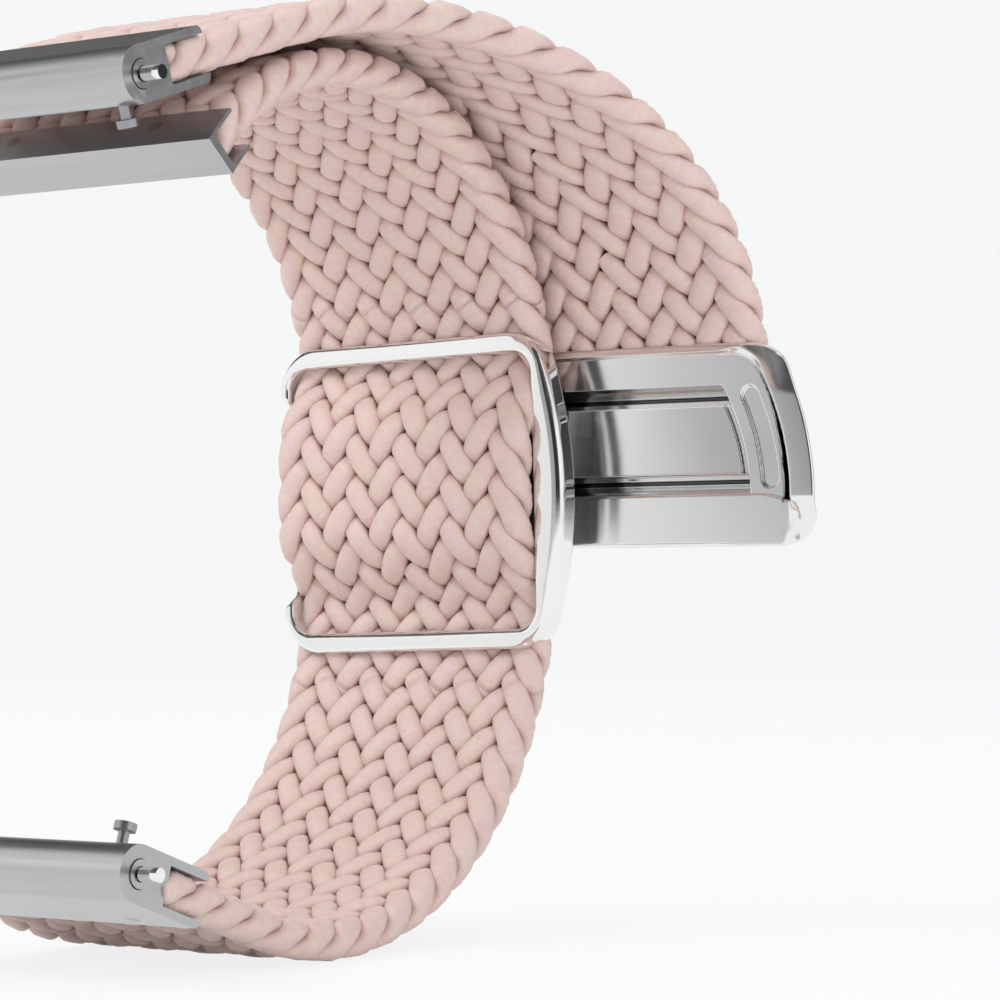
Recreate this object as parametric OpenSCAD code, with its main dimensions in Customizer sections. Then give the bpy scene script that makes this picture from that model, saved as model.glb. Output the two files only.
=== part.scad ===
// Braided nylon watch strap: an adjusting half with a sliding frame, and a clasp half.
// The loop lies in the Y and Z directions and its width along X. +Z is up, and the far side of
// the loop, where the clasp is, faces +Y. The origin is the axis of the first spring bar.

/* [Strap] */
// Width of the braided strap
strap_w = 22; // [20:0.5:24]
// Thickness of the braided strap
strap_t = 2.5; // [2:0.1:2.7]
// Free gap between the two straps where they lie one over the other
strap_gap = 0.7; // [0.6:0.1:1.2]

/* [Loop] */
// Height at which the loop's upper bend starts
top_flat = 6.1; // [5.5:0.1:7]
// Depth at which the loop's lower bend starts
low_flat = 5.7; // [5.5:0.1:7]
// Radius of the loop's upper bend, at the middle of the first strap
top_r = 21.5; // [20:0.1:23]
// Radius of the loop's lower bend, at the middle of the first strap
low_r = 24.1; // [22:0.1:25]
// Distance from the far side of the loop to the spring bars
lug_back = 45; // [43:0.5:50]
// Half the distance between the two spring bars
lug_half = 24; // [22:0.5:26]
// Where the free tail ends, as an angle round the upper bend
tail_angle = 139; // [120:1:142]

/* [Sliding frame] */
// Width of the frame's straight left side
frame_left = 0.9; // [0.8:0.05:1.2]
// Width of the frame's bowed right side, at its middle
frame_right = 1.8; // [1.6:0.1:2.4]
// Height of the frame
frame_h = 22.6; // [22:0.1:24]
// Radius of the bow of the frame's right side
frame_bow_r = 29; // [26:1:60]
// Radius of the frame's right corners
frame_corner_r = 2.8; // [2:0.1:3.4]
// Radius of the frame's left corners
left_corner_r = 3.2; // [2.4:0.1:3.6]
// How far the left side is set back from the frame's face, to lie beside the strap's edge
left_set = 1.45; // [1:0.05:1.6]
// Height of the frame's upper and lower bars
frame_bar = 1.25; // [1:0.05:1.8]
// Depth of the frame's sides
frame_depth = 1.9; // [1.6:0.1:2]
// Depth of the frame's upper and lower bars
bar_depth = 0.75; // [0.6:0.05:0.8]
// How far the frame's face stands in front of the strap's middle
frame_front = 2.6; // [2.6:0.05:3]
// Bevel along the frame's outer front edge
frame_bevel = 0.3; // [0.1:0.05:0.4]
// How far the strap rises through the frame's window
wave_h = 2.7; // [2.5:0.1:3]
// Height of the middle of that rise
wave_z = 0.8; // [0:0.1:1]

/* [Carrier] */
// Thickness of the carrier's runners, which ride in the clasp's grooves
runner_t = 1.1; // [0.8:0.1:1.2]
// Length of the carrier's runners
runner_l = 17; // [14:0.5:18]
// Clearance between runners and grooves
runner_gap = 0.1; // [0.05:0.01:0.2]

/* [Clasp] */
// How far the clasp stands open sideways
open_x = 16; // [14:0.5:18]
// Height of the clasp's lower edge
clasp_low = -3.8; // [-5:0.1:-3.4]
// Height of the clasp's upper edge
clasp_top = 10.2; // [10:0.1:11]
// How far the clasp's left end reaches past the strap's edge
clasp_side = 1.4; // [1:0.1:2]
// How far the clasp's raised lip reaches past the strap's edge, at the right
lip_side = 4; // [3.6:0.1:5]
// Width of the raised lip
lip_w = 1.6; // [1.2:0.1:2]
// Height of the lip's bow above the frame's middle
bow_z = -0.5; // [-1:0.1:1]
// Place of the bow's centre across the clasp
bow_x = -4.5; // [-8:0.5:0]
// How far inside the strap's edge the grooves end, at the right
groove_in = 0.8; // [0.4:0.1:1]
// Corner radius of the clasp
clasp_corner_r = 2; // [1.4:0.1:2.4]
// Middle height of the grooves and the panel between them
panel_z = 3.6; // [3.3:0.1:3.8]
// Height of the panel between the grooves
panel_h = 4.9; // [4.4:0.1:5]
// Height of each groove
groove_h = 1.3; // [1.2:0.05:1.4]

/* [Spring bars] */
// Radius of the spring bar's tube
tube_r = 0.9; // [0.85:0.01:0.95]
// Radius of the spring bar's tips
tip_r = 0.45; // [0.4:0.01:0.5]
// Length of a tip outside the tube
tip_out = 1.4; // [1:0.1:1.6]
// Travel of the quick-release lever
lever_travel = 1.2; // [0.8:0.1:1.3]

/* [Hidden] */

// Colours
nylon = [0.80, 0.66, 0.62];
steel = [0.80, 0.81, 0.83];
dark_steel = [0.55, 0.56, 0.58];
magnet = [0.35, 0.36, 0.38];

// Small distance that lets a cut pass a face
cut = 0.5;
// Rounded ends stay this far inside the faces that they run into
blend_in = 0.01;
// Clearance between faces that pass each other
pass_gap = 0.3;

// The two straps share the centre of the upper bend
top_c = [-top_r, top_flat];
low_c = [-low_r, -low_flat];
b_r = top_r + strap_t + strap_gap;
lug_a = [-lug_back, -lug_half];
lug_b = [-lug_back, lug_half];

function round_pt(c, r, a) = [c[0] + r * cos(a), c[1] + r * sin(a)];
function dist(p, q) = norm(p - q);
function lerp(p, q, t) = p + (q - p) * t;
function smooth(t) = let (u = min(max(t, 0), 1)) u * u * (3 - 2 * u);

// Angle round a bend at which the straight run to a lug leaves it; side is 1 above and -1 below
function leave_angle(c, r, p, side) =
    let (phi = side * atan2(p[1] - c[1], p[0] - c[0]))
    side * (phi - acos(r / dist(p, c)));

leave_a = leave_angle(low_c, low_r, lug_a, -1);
leave_b = leave_angle(top_c, b_r, lug_b, 1);
leave_pt_a = round_pt(low_c, low_r, leave_a);
leave_pt_b = round_pt(top_c, b_r, leave_b);

// End fitting: the strap's end stops short of the spring bar's axis
mouth_at = 2.7;
mouth_deep = 3.8;
jaw_wall = 0.55;
fitting_half = strap_t / 2 + jaw_wall;
fitting_w = strap_w - 0.5;
seat_gap = 0.05;

// The strap's path through the frame's window
window_end = frame_h / 2 + 2.7;
wave_flat = 3;
wave_run = 6.2;
// The frame's bars press the strap back a little where it passes behind them
press_back = 0.15;
press_run = 3.1;
function bend_y(z) =
    let (r = z > 0 ? top_r : low_r)
    let (over = max(abs(z) - (z > 0 ? top_flat : low_flat), 0))
    sqrt(r * r - over * over) - r;
function wave(z) = -wave_h * (1 - smooth((abs(z - wave_z) - wave_flat) / wave_run));
function pressed(z) = press_back * (1 - smooth(abs(abs(z) - (frame_h - frame_bar) / 2) / press_run));
function window_y(z) = bend_y(z) + wave(z) + pressed(z);
function window_slope(z) = (window_y(z + 0.05) - window_y(z - 0.05)) / 0.1;

// Sideways lean of the second strap while the clasp stands open
lean_from = [3.7, clasp_top - 3.1];
lean_to = [-lug_back + 3.5, lug_half + 1];
function lean(p) =
    let (d = lean_to - lean_from)
    open_x * (1 - smooth((p - lean_from) * d / (d * d)));

// One station of a strap: sideways offset, place, outward normal, and shares of the section
function station(p, n, x = 0, w = 1, t = 1) = [x, p, n, w, t];
function bend_stations(c, r, a0, a1, steps) =
    [for (i = [0:steps])
        let (a = lerp(a0, a1, i / steps))
        station(round_pt(c, r, a), [cos(a), sin(a)])];
function line_stations(p, q, n, steps) =
    [for (i = [1:steps]) station(lerp(p, q, i / steps), n)];

// Section of the strap: flat faces with round rims
rim_steps = 4;
function rim_pt(side, a) =
    [side * (strap_w / 2 - strap_t / 2) + strap_t / 2 * cos(a), strap_t / 2 * sin(a)];
section = concat([for (i = [0:rim_steps]) rim_pt(1, -90 + 180 * i / rim_steps)],
                 [for (i = [0:rim_steps]) rim_pt(-1, 90 + 180 * i / rim_steps)]);

// A strap drawn through its stations as one closed skin
module strap(stations) {
    m = len(section);
    last = len(stations) - 1;
    points = [for (s = stations, q = section)
        [s[0] + q[0] * s[3], s[1][0] + s[2][0] * q[1] * s[4], s[1][1] + s[2][1] * q[1] * s[4]]];
    sides = [for (i = [0:last - 1], j = [0:m - 1])
        let (a = i * m + j, b = i * m + (j + 1) % m)
        each [[a, a + m, b], [b, a + m, b + m]]];
    ends = [for (j = [1:m - 2]) each [[0, j, j + 1], [last * m, last * m + j + 1, last * m + j]]];
    polyhedron(points = points, faces = concat(sides, ends), convexity = 6);
}

// Moves from the loop's own frame to the origin on the first spring bar
module from_loop() {
    translate([0, lug_back, lug_half]) children();
}

// Places a piece at a lug: its own +Y points along the strap, and +Z out of the loop
module at_lug(p, q, out) {
    a = atan2(q[1] - p[1], q[0] - p[0]);
    from_loop() translate([0, p[0], p[1]]) rotate([a, 0, 0]) mirror([0, 0, out > 0 ? 0 : 1])
        children();
}
module at_lug_a() {
    at_lug(lug_a, leave_pt_a, -1) children();
}
module at_lug_b() {
    at_lug(lug_b, leave_pt_b, 1) children();
}

// A profile in the plane of the loop, drawn out along the strap's width
module across(w, x = 0) {
    translate([x - w / 2, 0, 0]) rotate([90, 0, 90]) linear_extrude(w) children();
}
// A profile that faces the viewer, from one depth to another
module facing(y0, y1) {
    translate([0, y1, 0]) rotate([90, 0, 0]) linear_extrude(y1 - y0) children();
}

// End fittings and their pins
pin_x = strap_w * [-0.32, 0.32];
pin_r = 0.5;
pin_at = mouth_at + mouth_deep / 2;
tube_half = fitting_w / 2 + 0.1;
bore_r = tube_r + seat_gap;
slot_in = tube_half - 3.8;
slot_out = tube_half - 1.2;
slot_w = 1;

module fitting_profile() {
    end_r = 0.5;
    reach = mouth_at + mouth_deep;
    difference() {
        union() {
            circle(r = fitting_half, $fn = 48);
            translate([0, -fitting_half]) square([reach - end_r, 2 * fitting_half]);
            translate([0, -fitting_half + end_r]) square([reach, 2 * (fitting_half - end_r)]);
            for (side = [-1, 1])
                translate([reach - end_r, side * (fitting_half - end_r)]) circle(r = end_r, $fn = 24);
        }
        translate([mouth_at, -strap_t / 2]) square([mouth_deep + cut, strap_t]);
    }
}

module lug_fitting() {
    color(steel) difference() {
        across(fitting_w) fitting_profile();
        rotate([0, 90, 0]) cylinder(r = bore_r, h = fitting_w + 2 * cut, center = true, $fn = 48);
        for (x = pin_x)
            translate([x, pin_at, 0]) cylinder(r = pin_r, h = 3 * fitting_half, center = true, $fn = 32);
        // Slot for the release lever, towards the wrist
        translate([slot_in, -slot_w / 2, -fitting_half - cut])
            cube([slot_out - slot_in, slot_w, fitting_half + cut]);
    }
}
module fitting_pins() {
    color(dark_steel) for (x = pin_x)
        translate([x, pin_at, 0]) cylinder(r = pin_r, h = 2 * fitting_half, center = true, $fn = 32);
}

// Spring bar: a tube, a fixed tip at the left and a sprung tip with a lever at the right
shank_r = tip_r - 0.17;
collar_r = tip_r + 0.17;
hole_r = tip_r + seat_gap;
cavity_r = tube_r - 0.22;
collar_out = 0.12;
head_r = cavity_r - seat_gap;
end_wall = 0.6;
head_l = 2.2;
head_in = tube_half - end_wall - head_l;
lever_x = head_in + 0.8;
lever_r = 0.35;
lever_l = fitting_half + 1.3;
spring_stop = 1.2;
wire_r = 0.1;
coils = 8;

module bar_tube() {
    color(steel) difference() {
        rotate([0, 90, 0]) cylinder(r = tube_r, h = 2 * tube_half, center = true, $fn = 48);
        translate([spring_stop, 0, 0]) rotate([0, 90, 0])
            cylinder(r = cavity_r, h = tube_half - end_wall - spring_stop, $fn = 48);
        translate([tube_half - end_wall - cut, 0, 0]) rotate([0, 90, 0])
            cylinder(r = hole_r, h = end_wall + 2 * cut, $fn = 48);
        translate([-tube_half - cut, 0, 0]) rotate([0, 90, 0])
            cylinder(r = cavity_r, h = 2 + cut, $fn = 48);
        translate([slot_in + 0.2, -slot_w / 2 + 0.1, -tube_r - cut])
            cube([slot_out - slot_in - 0.4, slot_w - 0.2, tube_r + cut]);
    }
}
module bar_fixed_tip() {
    color(steel) {
        translate([-tube_half, 0, 0]) rotate([0, 90, 0]) cylinder(r = cavity_r, h = 2, $fn = 48);
        translate([-tube_half - collar_out, 0, 0]) rotate([0, 90, 0])
            cylinder(r = collar_r, h = collar_out + 1, $fn = 48);
        translate([-tube_half - collar_out - tip_out, 0, 0]) rotate([0, 90, 0])
            cylinder(r = tip_r, h = tip_out + 0.5, $fn = 48);
    }
}
module bar_sliding_tip() {
    color(steel) difference() {
        union() {
            translate([head_in, 0, 0]) rotate([0, 90, 0]) cylinder(r = head_r, h = head_l, $fn = 48);
            translate([head_in, 0, 0]) rotate([0, 90, 0])
                cylinder(r = shank_r, h = tube_half + collar_out + 0.5 - head_in, $fn = 48);
            translate([tube_half + collar_out, 0, 0]) rotate([0, 90, 0])
                cylinder(r = tip_r, h = tip_out, $fn = 48);
        }
        translate([lever_x, 0, -head_r - cut]) cylinder(r = lever_r, h = head_r + cut, $fn = 24);
    }
}
module bar_lever() {
    color(dark_steel) {
        translate([lever_x, 0, -lever_l]) cylinder(r = lever_r, h = lever_l, $fn = 24);
        translate([lever_x, 0, -lever_l]) cylinder(r = 2 * lever_r, h = 0.5, $fn = 32);
    }
}
// Return spring in the tube, from its stop to the tip's head
module bar_spring() {
    turn = 7;
    sides = 5;
    coil_r = cavity_r - wire_r - seat_gap;
    steps = coils * turn;
    run = head_in - spring_stop - 2 * (wire_r + seat_gap);
    points = [for (i = [0:steps], j = [0:sides - 1])
        let (a = 360 * i / turn, b = 360 * j / sides, r = coil_r + wire_r * cos(b))
        [spring_stop + wire_r + seat_gap + run * i / steps + wire_r * sin(b), r * cos(a), r * sin(a)]];
    skin = [for (i = [0:steps - 1], j = [0:sides - 1])
        let (a = i * sides + j, b = i * sides + (j + 1) % sides)
        each [[a, b, a + sides], [b, b + sides, a + sides]]];
    ends = [for (j = [1:sides - 2])
        each [[0, j + 1, j], [steps * sides, steps * sides + j, steps * sides + j + 1]]];
    color(dark_steel) polyhedron(points = points, faces = concat(skin, ends), convexity = 8);
}

module lug_fitting_a() at_lug_a() lug_fitting();
module fitting_pins_a() at_lug_a() fitting_pins();
module bar_tube_a() at_lug_a() bar_tube();
module bar_fixed_tip_a() at_lug_a() bar_fixed_tip();
module bar_sliding_tip_a() at_lug_a() bar_sliding_tip();
module bar_lever_a() at_lug_a() bar_lever();
module bar_spring_a() at_lug_a() bar_spring();
module lug_fitting_b() at_lug_b() lug_fitting();
module fitting_pins_b() at_lug_b() fitting_pins();
module bar_tube_b() at_lug_b() bar_tube();
module bar_fixed_tip_b() at_lug_b() bar_fixed_tip();
module bar_sliding_tip_b() at_lug_b() bar_sliding_tip();
module bar_lever_b() at_lug_b() bar_lever();
module bar_spring_b() at_lug_b() bar_spring();

// The straps
bend_steps = 20;
join_z = window_end;
low_join_a = -asin((join_z - low_flat) / low_r);
top_join_a = asin((join_z - top_flat) / top_r);
join_gap = 0.02;

module strap_a_lower() {
    n = [cos(leave_a), sin(leave_a)];
    end = lerp(lug_a, leave_pt_a, (mouth_at + seat_gap) / dist(lug_a, leave_pt_a));
    start_a = low_join_a - join_gap;
    color(nylon) from_loop()
        strap(concat(bend_stations(low_c, low_r, start_a, leave_a, bend_steps),
                     line_stations(leave_pt_a, end, n, 2)));
}
module strap_a_window() {
    steps = 22;
    color(nylon) from_loop()
        strap([for (i = [0:steps])
            let (z = lerp(window_end, -window_end, i / steps), s = window_slope(z), l = norm([1, s]))
            station([window_y(z), z], [1, -s] / l)]);
}
module strap_a_tail() {
    clamped = tail_angle - clamp_arc - 1;
    full = bend_stations(top_c, top_r, clamped - 1, top_join_a + join_gap, bend_steps);
    held = [for (a = [tail_angle - 0.2, (tail_angle + clamped) / 2, clamped])
        station(round_pt(top_c, top_r, a), [cos(a), sin(a)], 0, 1, held_share)];
    color(nylon) difference() {
        from_loop() strap(concat(held, full));
        tail_bores(2 * strap_t, pin_r + held_gap);
    }
}

// Thin folded steel clamp over the tail's end, curved with the bend, and its two rivets
clamp_arc = 6;
clamp_wall = 0.25;
clamp_over = 0.3;
clamp_rivet_x = strap_w * [-0.27, 0.27];
// A strap's end is squeezed a little where another piece holds it, and its pin holes are wider
held_share = 0.9;
held_gap = 0.15;

// A sector of the upper bend, between two radii
module bend_sector(a0, a1, half_t) {
    far = 2 * top_r;
    translate(top_c) intersection() {
        difference() {
            circle(r = top_r + half_t, $fn = 240);
            circle(r = top_r - half_t, $fn = 240);
        }
        polygon([[0, 0], far * [cos(a0), sin(a0)], far * [cos(a1), sin(a1)]]);
    }
}
// Places a radial piece at an angle round the upper bend
module on_bend(a) {
    from_loop() translate([0, top_c[0], top_c[1]]) rotate([a - 90, 0, 0]) children();
}
module tail_clamp() {
    half = strap_t / 2 + clamp_wall;
    start = tail_angle - clamp_arc;
    end_arc = 1.5;
    color(steel) difference() {
        from_loop() across(strap_w + 2 * clamp_over) difference() {
            bend_sector(start, tail_angle + end_arc, half);
            bend_sector(start - 1, tail_angle, strap_t / 2);
        }
        tail_bores(2 * half + 2 * cut);
    }
}
module tail_bores(reach, r = pin_r) {
    on_bend(tail_angle - clamp_arc / 2) for (x = clamp_rivet_x)
        translate([x, 0, top_r - reach / 2]) cylinder(r = r, h = reach, $fn = 32);
}
module tail_rivets() {
    color(dark_steel) tail_bores(strap_t + 2 * clamp_wall);
}

// Sliding frame: a straight left side, a bowed right side and round corners about a window
window_w = strap_w + 0.4;
frame_w = frame_left + window_w + frame_right;
left_x = -window_w / 2 - frame_left;
bow_c = window_w / 2 + frame_right - frame_bow_r;
corner_z = frame_h / 2 - frame_corner_r;
corner_x = bow_c + sqrt(pow(frame_bow_r - frame_corner_r, 2) - corner_z * corner_z);
bow_end_z = frame_bow_r * sin(atan2(corner_z, corner_x - bow_c));
left_corner_z = frame_h / 2 - left_corner_r;

module frame_outline() {
    intersection() {
        translate([bow_c, 0]) circle(r = frame_bow_r, $fn = 160);
        translate([0, -bow_end_z]) square([frame_w, 2 * bow_end_z]);
    }
    translate([left_x + left_corner_r, -frame_h / 2]) square([corner_x - left_x - left_corner_r, frame_h]);
    translate([left_x, -left_corner_z]) square([frame_w / 2, 2 * left_corner_z]);
    for (z = [-corner_z, corner_z])
        translate([corner_x, z]) circle(r = frame_corner_r, $fn = 48);
    for (z = [-left_corner_z, left_corner_z])
        translate([left_x + left_corner_r, z]) circle(r = left_corner_r, $fn = 48);
}
module frame_window() {
    r = 1.6;
    h = frame_h - 2 * frame_bar;
    square([window_w - 2 * r, h], center = true);
    square([window_w, h - 2 * r], center = true);
    for (x = [-1, 1], z = [-1, 1])
        translate([x * (window_w / 2 - r), z * (h / 2 - r)]) circle(r = r, $fn = 32);
}
frame_back = -frame_front + frame_depth;
bar_back = -frame_front + bar_depth;
left_face = -frame_front + left_set;
left_back = 0;
left_half = 6.8;
ear_half = 4.2;
ear_t = 0.7;
ear_pin_z = [-3.1, 3.1];
ear_pin_r = 0.25;
ear_pin_deep = 0.8;
// The ears lie behind the frame's sides: how far out each reaches, and where its pins stand
ears = [[-1, window_w / 2 + frame_left - 0.1, left_back, window_w / 2 + frame_left / 2],
        [1, window_w / 2 + 1, frame_back, window_w / 2 + 0.6]];
module ear_pins(front, back, r) {
    for (e = ears, z = ear_pin_z)
        translate([e[0] * e[3], e[2] + back, z]) rotate([90, 0, 0])
            cylinder(r = r, h = front + back, $fn = 24);
}

module slider_frame() {
    slope = 1.3;
    pass = cut * slope / left_set;
    color(steel) from_loop() difference() {
        union() {
            hull() {
                facing(-frame_front + frame_bevel, frame_back) frame_outline();
                facing(-frame_front, frame_back)
                    scale([1 - 2 * frame_bevel / frame_w, 1 - 2 * frame_bevel / frame_h]) frame_outline();
            }
            // The left side reaches further back
            translate([left_x, frame_back - 0.4, -left_half])
                cube([frame_left, left_back - frame_back + 0.4, 2 * left_half]);
        }
        facing(-frame_front - cut, frame_back + cut) frame_window();
        // The upper and lower bars are shallower, to let the strap pass behind them
        for (z = [-1, 1])
            translate([-window_w / 2, bar_back, z > 0 ? frame_h / 2 - frame_corner_r : -frame_h / 2 - cut])
                cube([window_w, frame_depth, frame_corner_r + cut]);
        // The left side is set back beside the strap's edge
        across(frame_left + 2 * cut, left_x + frame_left / 2)
            polygon([[-frame_front - cut, -left_half - slope - pass], [left_face, -left_half],
                     [left_face, left_half], [-frame_front - cut, left_half + slope + pass]]);
        ear_pins(ear_pin_deep, cut, ear_pin_r);
    }
}

// Carrier behind the window: a crowned saddle under the strap, ears under the frame's sides
// and two runners that ride in the clasp's grooves
guide_face = 1.9;
carrier_back = 1.45;
groove_face = guide_face + 1.2;
panel_face = guide_face + 0.25;
carrier_low = -4.6;
carrier_top = 7.6;
saddle_w = strap_w - 0.4;
carrier_gap = 0.15;
magnet_x = 4.6;
magnet_w = 7.6;
magnet_h = 3.8;
magnet_t = 1.5;
sheet_t = 0.3;
groove_x = strap_w / 2 - groove_in;
// The runners end short of the grooves' bowed ends when the clasp is shut
runner_top = panel_z + (panel_h + groove_h + runner_t) / 2;
runner_end = bow_x + sqrt(pow(groove_x - bow_x, 2) - pow(runner_top - bow_z, 2)) - pass_gap;

function saddle_y(z) =
    let (s = window_slope(z))
    window_y(z) + (strap_t / 2) * norm([1, s]) + carrier_gap;
module saddle_profile() {
    steps = 14;
    rim = [for (i = [0:steps])
        let (z = lerp(carrier_low, carrier_top, i / steps))
        [min(saddle_y(z), carrier_back - 0.9), z]];
    polygon(concat(rim, [[carrier_back, carrier_top], [carrier_back, carrier_low]]));
}
module strap_carrier() {
    color(steel) from_loop() difference() {
        union() {
            across(saddle_w) saddle_profile();
            for (e = ears)
                translate([e[0] > 0 ? saddle_w / 2 - cut : -e[1], e[2], -ear_half])
                    cube([e[1] - saddle_w / 2 + cut, ear_t, 2 * ear_half]);
            for (side = [-1, 1])
                translate([runner_end - runner_l, carrier_back - cut,
                           panel_z + side * (panel_h + groove_h) / 2 - runner_t / 2])
                    cube([runner_l, groove_face - runner_gap - carrier_back + cut, runner_t]);
        }
        // Pockets for the magnets and their cover sheet, open at the back
        for (x = [-magnet_x, magnet_x])
            translate([x - magnet_w / 2, carrier_back - sheet_t - magnet_t, panel_z - magnet_h / 2])
                cube([magnet_w, magnet_t + cut, magnet_h]);
        translate([-magnet_x - magnet_w / 2 - 0.4, carrier_back - sheet_t, panel_z - magnet_h / 2 - 0.2])
            cube([2 * magnet_x + magnet_w + 0.8, sheet_t + cut, magnet_h + 0.4]);
        ear_pins(cut, ear_t + cut, ear_pin_r);
    }
}
module carrier_pins() {
    color(dark_steel) from_loop() ear_pins(ear_pin_deep, ear_t, ear_pin_r);
}
module carrier_magnets() {
    color(magnet) from_loop() for (x = [-magnet_x, magnet_x])
        translate([x - magnet_w / 2 + seat_gap, carrier_back - sheet_t - magnet_t,
                   panel_z - magnet_h / 2 + seat_gap])
            cube([magnet_w - 2 * seat_gap, magnet_t, magnet_h - 2 * seat_gap]);
}
module magnet_cover() {
    color(steel) from_loop()
        translate([-magnet_x - magnet_w / 2 - 0.35, carrier_back - sheet_t, panel_z - magnet_h / 2 - 0.15])
            cube([2 * magnet_x + magnet_w + 0.7, sheet_t, magnet_h + 0.3]);
}

// Clasp: cover, guide plate with grooves, magnets and the clamp for the second strap.
// All of it is drawn about the clasp's own middle and stands open_x to the side.
band_face = 1.6;
lip_face = 0.6;
cover_back = 5.1;
back_wall = 0.8;
clasp_left = strap_w / 2 + clasp_side;
lip_x = strap_w / 2 + lip_side;
guide_low = panel_z - panel_h / 2 - groove_h - 0.15;
guide_top = clasp_top - 0.7;
guide_back = cover_back - back_wall;
groove_r = groove_x - bow_x;
lip_in_r = lip_x - lip_w - bow_x;
lip_out_r = lip_x - bow_x;
guide_corner_r = 2.6;
tongue_t = 1.2;
tongue_deep = 2.4;
tongue_face = guide_face + 0.65;
tongue_w = strap_w - 0.8;
clamp_low = clasp_top - tongue_deep - 0.1;
clamp_mid = (clamp_low + guide_top) / 2;
clamp_w = tongue_w - 3;
clamp_pin_x = strap_w * [-0.32, 0.32];
// The back of the bowed end slopes in, and the lip's top lies lower where the strap passes it
slope_from = 2.6;
slope_in = 0.6;
lip_step = 0.6;
lip_step_z = 7.6;
lip_step_run = 1.3;

module clasp_at() {
    from_loop() translate([open_x, 0, 0]) children();
}
// Everything left of a bow that shares the clasp's bow centre
module in_bow(r) {
    intersection() {
        translate([bow_x, bow_z]) circle(r = r, $fn = 180);
        translate([-clasp_left - cut, clasp_low - cut])
            square([clasp_left + bow_x + r + 2 * cut, clasp_top - clasp_low + 2 * cut]);
    }
    translate([-clasp_left - cut, clasp_low - cut])
        square([clasp_left + cut + bow_x, clasp_top - clasp_low + 2 * cut]);
}
// Centre of a corner circle that touches the lip's bow and a level edge
function bow_corner(z, side, bow_r = lip_out_r, r = clasp_corner_r) =
    [bow_x + sqrt(pow(bow_r - r, 2) - pow(z - side * r - bow_z, 2)), z - side * r];
module clasp_outline() {
    up = bow_corner(clasp_top, 1);
    low = bow_corner(clasp_low, -1);
    left_r = 1.2;
    reach_up = bow_z + lip_out_r * sin(atan2(up[1] - bow_z, up[0] - bow_x));
    reach_low = bow_z + lip_out_r * sin(atan2(low[1] - bow_z, low[0] - bow_x));
    intersection() {
        in_bow(lip_out_r);
        translate([0, reach_low]) square([2 * lip_x, reach_up - reach_low]);
    }
    for (q = [up, low])
        translate(q) circle(r = clasp_corner_r - blend_in, $fn = 48);
    translate([-clasp_left + left_r, clasp_low])
        square([min(up[0], low[0]) + clasp_left - left_r, clasp_top - clasp_low]);
    translate([-clasp_left + left_r, low[1] - clasp_corner_r])
        square([low[0] + clasp_left - left_r, clasp_corner_r]);
    translate([-clasp_left, clasp_low + left_r])
        square([clasp_left, clasp_top - clasp_low - 2 * left_r]);
    for (z = [clasp_low + left_r, clasp_top - left_r])
        translate([-clasp_left + left_r, z]) circle(r = left_r - blend_in, $fn = 32);
}
// The plate inside the lip: its upper right corner is round
module guide_outline(gap = 0) {
    r = lip_in_r - gap;
    q = bow_corner(guide_top, 1, lip_in_r, guide_corner_r);
    turn_z = bow_z + lip_in_r * sin(atan2(q[1] - bow_z, q[0] - bow_x));
    left = -clasp_left + 0.6 + gap;
    low = guide_low + gap;
    intersection() {
        in_bow(r);
        translate([left, low]) square([2 * lip_x, turn_z - low]);
    }
    translate([left, low]) square([q[0] - left, guide_top - gap - low]);
    translate(q) circle(r = guide_corner_r - gap - blend_in, $fn = 48);
}
// Everything inside the lip, out past the clasp's left, upper and lower edges
module inside_lip() {
    q = bow_corner(guide_top, 1, lip_in_r, guide_corner_r);
    turn_z = bow_z + lip_in_r * sin(atan2(q[1] - bow_z, q[0] - bow_x));
    wide = clasp_left + cut;
    intersection() {
        in_bow(lip_in_r);
        translate([-wide, clasp_low - cut]) square([2 * lip_x + wide, turn_z - clasp_low + cut]);
    }
    translate([-wide, clasp_low - cut]) square([wide + q[0], clasp_top - clasp_low + 2 * cut]);
    translate(q) circle(r = guide_corner_r - blend_in, $fn = 48);
}
module clasp_cover() {
    color(steel) clasp_at() difference() {
        facing(lip_face, cover_back) clasp_outline();
        // The face inside the lip lies lower
        facing(lip_face - cut, band_face) inside_lip();
        facing(band_face - cut, guide_back) guide_outline();
        // Way in for the runners from the left
        translate([-clasp_left - cut, band_face - cut, guide_low + 0.15])
            cube([2, groove_face - band_face + cut, 2 * groove_h + panel_h]);
        // Slot for the strap's thin end
        translate([-tongue_w / 2 - 0.1, tongue_face - 0.05, guide_top - 1.2])
            cube([tongue_w + 0.2, tongue_t + 0.1, clasp_top - guide_top + 1.2 + cut]);
        clamp_bores(cover_back - 0.5);
        sloped_back();
        across(2 * lip_x, lip_x)
            polygon([[lip_face - cut, lip_step_z - cut * lip_step_run / lip_step],
                     [lip_face + lip_step, lip_step_z + lip_step_run],
                     [lip_face + lip_step, clasp_top + cut], [lip_face - cut, clasp_top + cut]]);
    }
}
// A cone about the bow's centre takes the back edge off the bowed end
module sloped_back() {
    deep = cover_back - slope_from + cut;
    translate([bow_x, 0, bow_z]) rotate([-90, 0, 0]) rotate_extrude($fn = 180)
        polygon([[lip_out_r + slope_in, slope_from - 1], [lip_out_r - slope_in * deep, cover_back + cut],
                 [lip_out_r + 3, cover_back + cut], [lip_out_r + 3, slope_from - 1]]);
}
module clamp_bores(y_end) {
    for (x = clamp_pin_x)
        translate([x, y_end, clamp_mid]) rotate([90, 0, 0])
            cylinder(r = 0.4, h = y_end - guide_face - 0.3, $fn = 32);
}
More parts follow.
